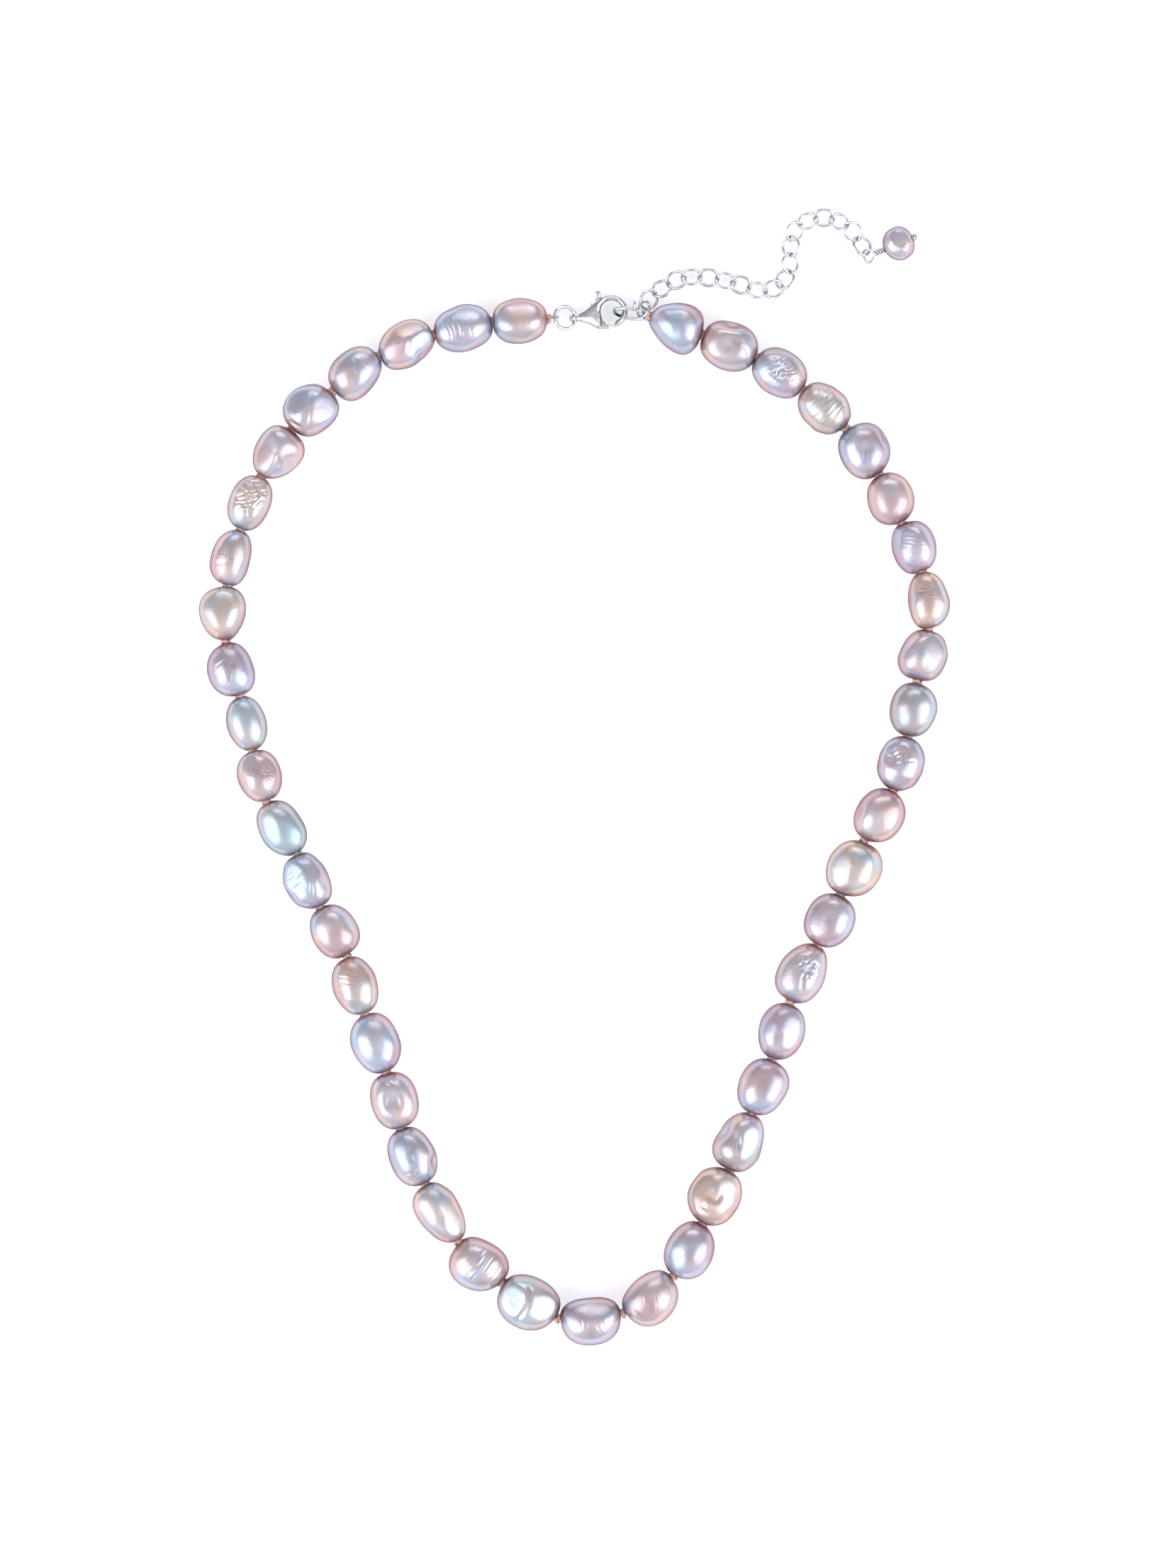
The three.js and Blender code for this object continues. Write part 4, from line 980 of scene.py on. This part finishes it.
def cast(made, grain, soft, cut=None, outline=None, round_by=0.5, least=0.35, taper=0.0):
    """Rounds a loose solid as a casting is: cut, finely remeshed, smoothed and domed in plan."""
    if cut is not None:
        tool = solid("cutter", [cut])
        slot_cut = made.modifiers.new("cut", "BOOLEAN")
        slot_cut.operation, slot_cut.solver, slot_cut.object = "DIFFERENCE", "EXACT", tool
    remesh = made.modifiers.new("remesh", "REMESH")
    remesh.mode, remesh.voxel_size = "VOXEL", grain
    smooth = made.modifiers.new("smooth", "SMOOTH")
    smooth.factor, smooth.iterations = 0.5, soft
    done = applied(made)
    if cut is not None:
        bpy.data.objects.remove(tool)
    if outline is not None:
        rim = np.array(outline + outline[:1])
        dense = np.concatenate([
            a + (b - a) * np.linspace(0, 1, 12, endpoint=False)[:, None] for a, b in zip(rim, rim[1:])
        ]) + CLASP[:2] + SHIFT[:2]
        tree = KDTree(len(dense))
        for k, (x, y) in enumerate(dense):
            tree.insert((x, y, 0), k)
        tree.balance()
        heights = [v.co.z for v in done.vertices]
        middle = (min(heights) + max(heights)) / 2
        for v in done.vertices:
            near_rim = 1 - min(tree.find((v.co.x, v.co.y, 0))[2] / round_by, 1)
            share = least + (1 - least) * (1 - near_rim**1.8) ** 0.6
            neck = min(max((v.co.x - SHIFT[0] - CLASP[0] - 0.1) / taper, 0), 1) if taper else 1
            v.co.z = middle + (v.co.z - middle) * share * (0.52 + 0.48 * neck)
    return made


def finished(made, node, name, material, body=True):
    made.name = made.data.name = name
    note_painted_rim_darkening(made.data)
    made.data.transform(Matrix.Scale(MM, 4))
    made.data.materials.clear()
    made.data.materials.append(material)
    made.data.polygons.foreach_set("use_smooth", [True] * len(made.data.polygons))
    if body:
        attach(made, body_of[node])
    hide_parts(node)
    return made


def clear_of_gate(points):
    return [p for p in points if math.dist(p, PIVOT) > GATE_REACH + NOSE_ROOM]


upper = smooth_line([(5.0, 3.78), (4.2, 3.52), (2.7, 2.4), (1.3, 1.22), (0.25, 0.58)], 24)
lower = smooth_line([(0.25, -0.55), (1.1, -0.72), (2.3, -1.12), (3.4, -1.66), (4.0, -1.86)], 18)
front = [(4.28, -1.7), (4.24, -0.9), (4.22, -0.2)]
claw_outline = [
    *upper, *lower, *front, *arc(HOOK_MIDDLE, HOOK_IN, 196, 0, 34),
    *clear_of_gate(arc(HOOK_MIDDLE, HOOK_IN, -4, -100, 30)),
    *clear_of_gate(arc(HOOK_MIDDLE, HOOK_OUT, -100, -4, 36)),
    *arc(HOOK_MIDDLE, HOOK_OUT, 0, 108, 26),
]
slot_outline = [
    (1.5, -0.5), (3.0, -2.4), (6.4, -2.4), (6.4, 0.9), (4.1, 1.6), (4.45, 5.0), (0.6, 5.0), (1.5, 1.2),
]
eye_frame = Matrix.Translation(Vector(CLASP) + Vector((-0.12, 0, THICK / 2))) @ turn("X", 90)
eye_points, eye_faces = tube(oval(0.9, 0.9, eye_frame, 56), 0.27, 16, closed=True)
eye_points[:, 1] = CLASP[1] + (eye_points[:, 1] - CLASP[1]) * 1.9

claw = cast(
    solid("claw", [prism(claw_outline, 0.06, THICK - 0.06)]), 0.065, 7,
    prism(slot_outline, 0.8, 2.0), claw_outline, 1.45, 0.42, 3.6,
)
skin = np.array([v.co[:] for v in claw.data.vertices]) - SHIFT
both = [(skin, [list(f.vertices) for f in claw.data.polygons]), (eye_points, eye_faces)]
bpy.data.objects.remove(claw)
finished(solid("claw_with_eye", both), "clasp_body", "silver_clasp_body", SILVER)

lever_outline = [
    *smooth_line([(2.35, 0.3), (2.9, -0.35), (3.75, -1.5), (4.8, -1.87), (5.55, -1.82)], 24),
    *arc(PIVOT, GATE_REACH, -46, -35, 4),
    *smooth_line([(4.95, -0.95), (4.4, -0.35), (4.1, 0.9), (3.92, 2.2), (4.02, 3.6), (4.12, 4.3)], 24),
    *arc((3.6, 4.2), 0.5, 10, 170, 10),
    *smooth_line([(3.1, 4.1), (3.2, 3.4), (2.95, 2.4), (2.35, 1.5), (2.3, 0.9)], 16),
]
lever = cast(
    solid("lever", [prism(lever_outline, 0.92, 1.88)]), 0.05, 4, None, lever_outline, 0.42, 0.5
)
finished(lever, "clasp_lever", "silver_clasp_lever", SILVER)

rivet = cast(solid("rivet", [prism(arc(PIVOT, 0.38, 0, 348, 30), 0.05, THICK - 0.03)]), 0.045, 6)
finished(rivet, "clasp_rivet", "silver_clasp_rivet", SILVER)

leaf = [(1.62, 0.0), (1.8, 0.0), (1.9, 1.1), (2.66, 2.36), (2.54, 2.48), (1.72, 1.15)]
spring = cast(solid("spring", [prism(leaf, 1.0, 1.8)]), 0.035, 1)
finished(spring, "clasp_spring", "steel_clasp_spring", STEEL, body=False)
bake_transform(spring)

# ---- floor, light and camera ----

bpy.ops.mesh.primitive_plane_add(size=4, location=(0, 0, -0.00002))
floor = bpy.context.object
floor.name = "floor"
paper = Nodes("white_paper")
tone = paper.ramp(paper.noise(6, 2.0), [(0.3, rgb("#f4f5f7")), (0.7, rgb("#fafafb"))])
paper.join(tone, paper.shader.inputs["Base Color"])
paper.join(tone, paper.shader.inputs["Emission Color"])
paper.set(Roughness=0.9, Emission_Strength=0.42)
floor.data.materials.append(paper.material)

scene = bpy.context.scene
scene.view_settings.view_transform = "Standard"
world = bpy.data.worlds.new("studio")
scene.world = world
world.use_nodes = True
sky = world.node_tree
background = sky.nodes["Background"]
where = sky.nodes.new("ShaderNodeTexCoord")
split = sky.nodes.new("ShaderNodeSeparateXYZ")
fade = sky.nodes.new("ShaderNodeValToRGB")
sky.links.new(where.outputs["Generated"], split.inputs[0])
sky.links.new(split.outputs["Z"], fade.inputs["Fac"])
fade.color_ramp.elements[0].position = 0.0
fade.color_ramp.elements[0].color = (0.22, 0.18, 0.18, 1)
fade.color_ramp.elements[1].position = 0.17
fade.color_ramp.elements[1].color = (0.4, 0.35, 0.36, 1)
for height, tone in ((0.3, (0.7, 0.67, 0.69, 1)), (0.8, (0.68, 0.65, 0.67, 1))):
    fade.color_ramp.elements.new(height).color = tone
far_side = sky.nodes.new("ShaderNodeMapRange")
for key, value in zip(range(1, 5), (-0.2, 0.75, 1.12, 0.5)):
    far_side.inputs[key].default_value = value
dimmed = sky.nodes.new("ShaderNodeMix")
dimmed.data_type, dimmed.blend_type = "RGBA", "MULTIPLY"
dimmed.inputs[0].default_value = 1.0
sky.links.new(split.outputs["Y"], far_side.inputs[0])
sky.links.new(fade.outputs["Color"], dimmed.inputs[6])
sky.links.new(far_side.outputs[0], dimmed.inputs[7])
sky.links.new(dimmed.outputs[2], background.inputs["Color"])
background.inputs["Strength"].default_value = 1.0


def softbox(name, place, width, height, watts, colour):
    lamp = bpy.data.lights.new(name, "AREA")
    lamp.shape = "RECTANGLE"
    lamp.size, lamp.size_y = width, height
    lamp.energy = watts
    lamp.color = colour
    made = bpy.data.objects.new(name, lamp)
    scene.collection.objects.link(made)
    made.location = place
    made.rotation_euler = (-Vector(place)).to_track_quat("-Z", "Y").to_euler()


softbox("softbox_left", (-0.78, -0.3, 0.6), 1.0, 0.9, 5.2, (0.82, 0.9, 1.0))
softbox("softbox_right", (0.78, -0.28, 0.6), 1.0, 0.9, 5.2, (0.82, 0.9, 1.0))
softbox("softbox_top", (0.05, 0.95, 0.42), 0.8, 0.3, 1.5, (0.95, 0.97, 1.0))

camera = bpy.data.objects.new("camera", bpy.data.cameras.new("camera"))
scene.collection.objects.link(camera)
camera.data.lens = 100
camera.data.sensor_width = 36
camera.data.clip_start, camera.data.clip_end = 0.01, 10
camera.location = ((2.4 + SHIFT[0]) * MM, (-1.3 + SHIFT[1]) * MM, 0.741)
camera.rotation_euler = (0, 0, 0)
scene.camera = camera
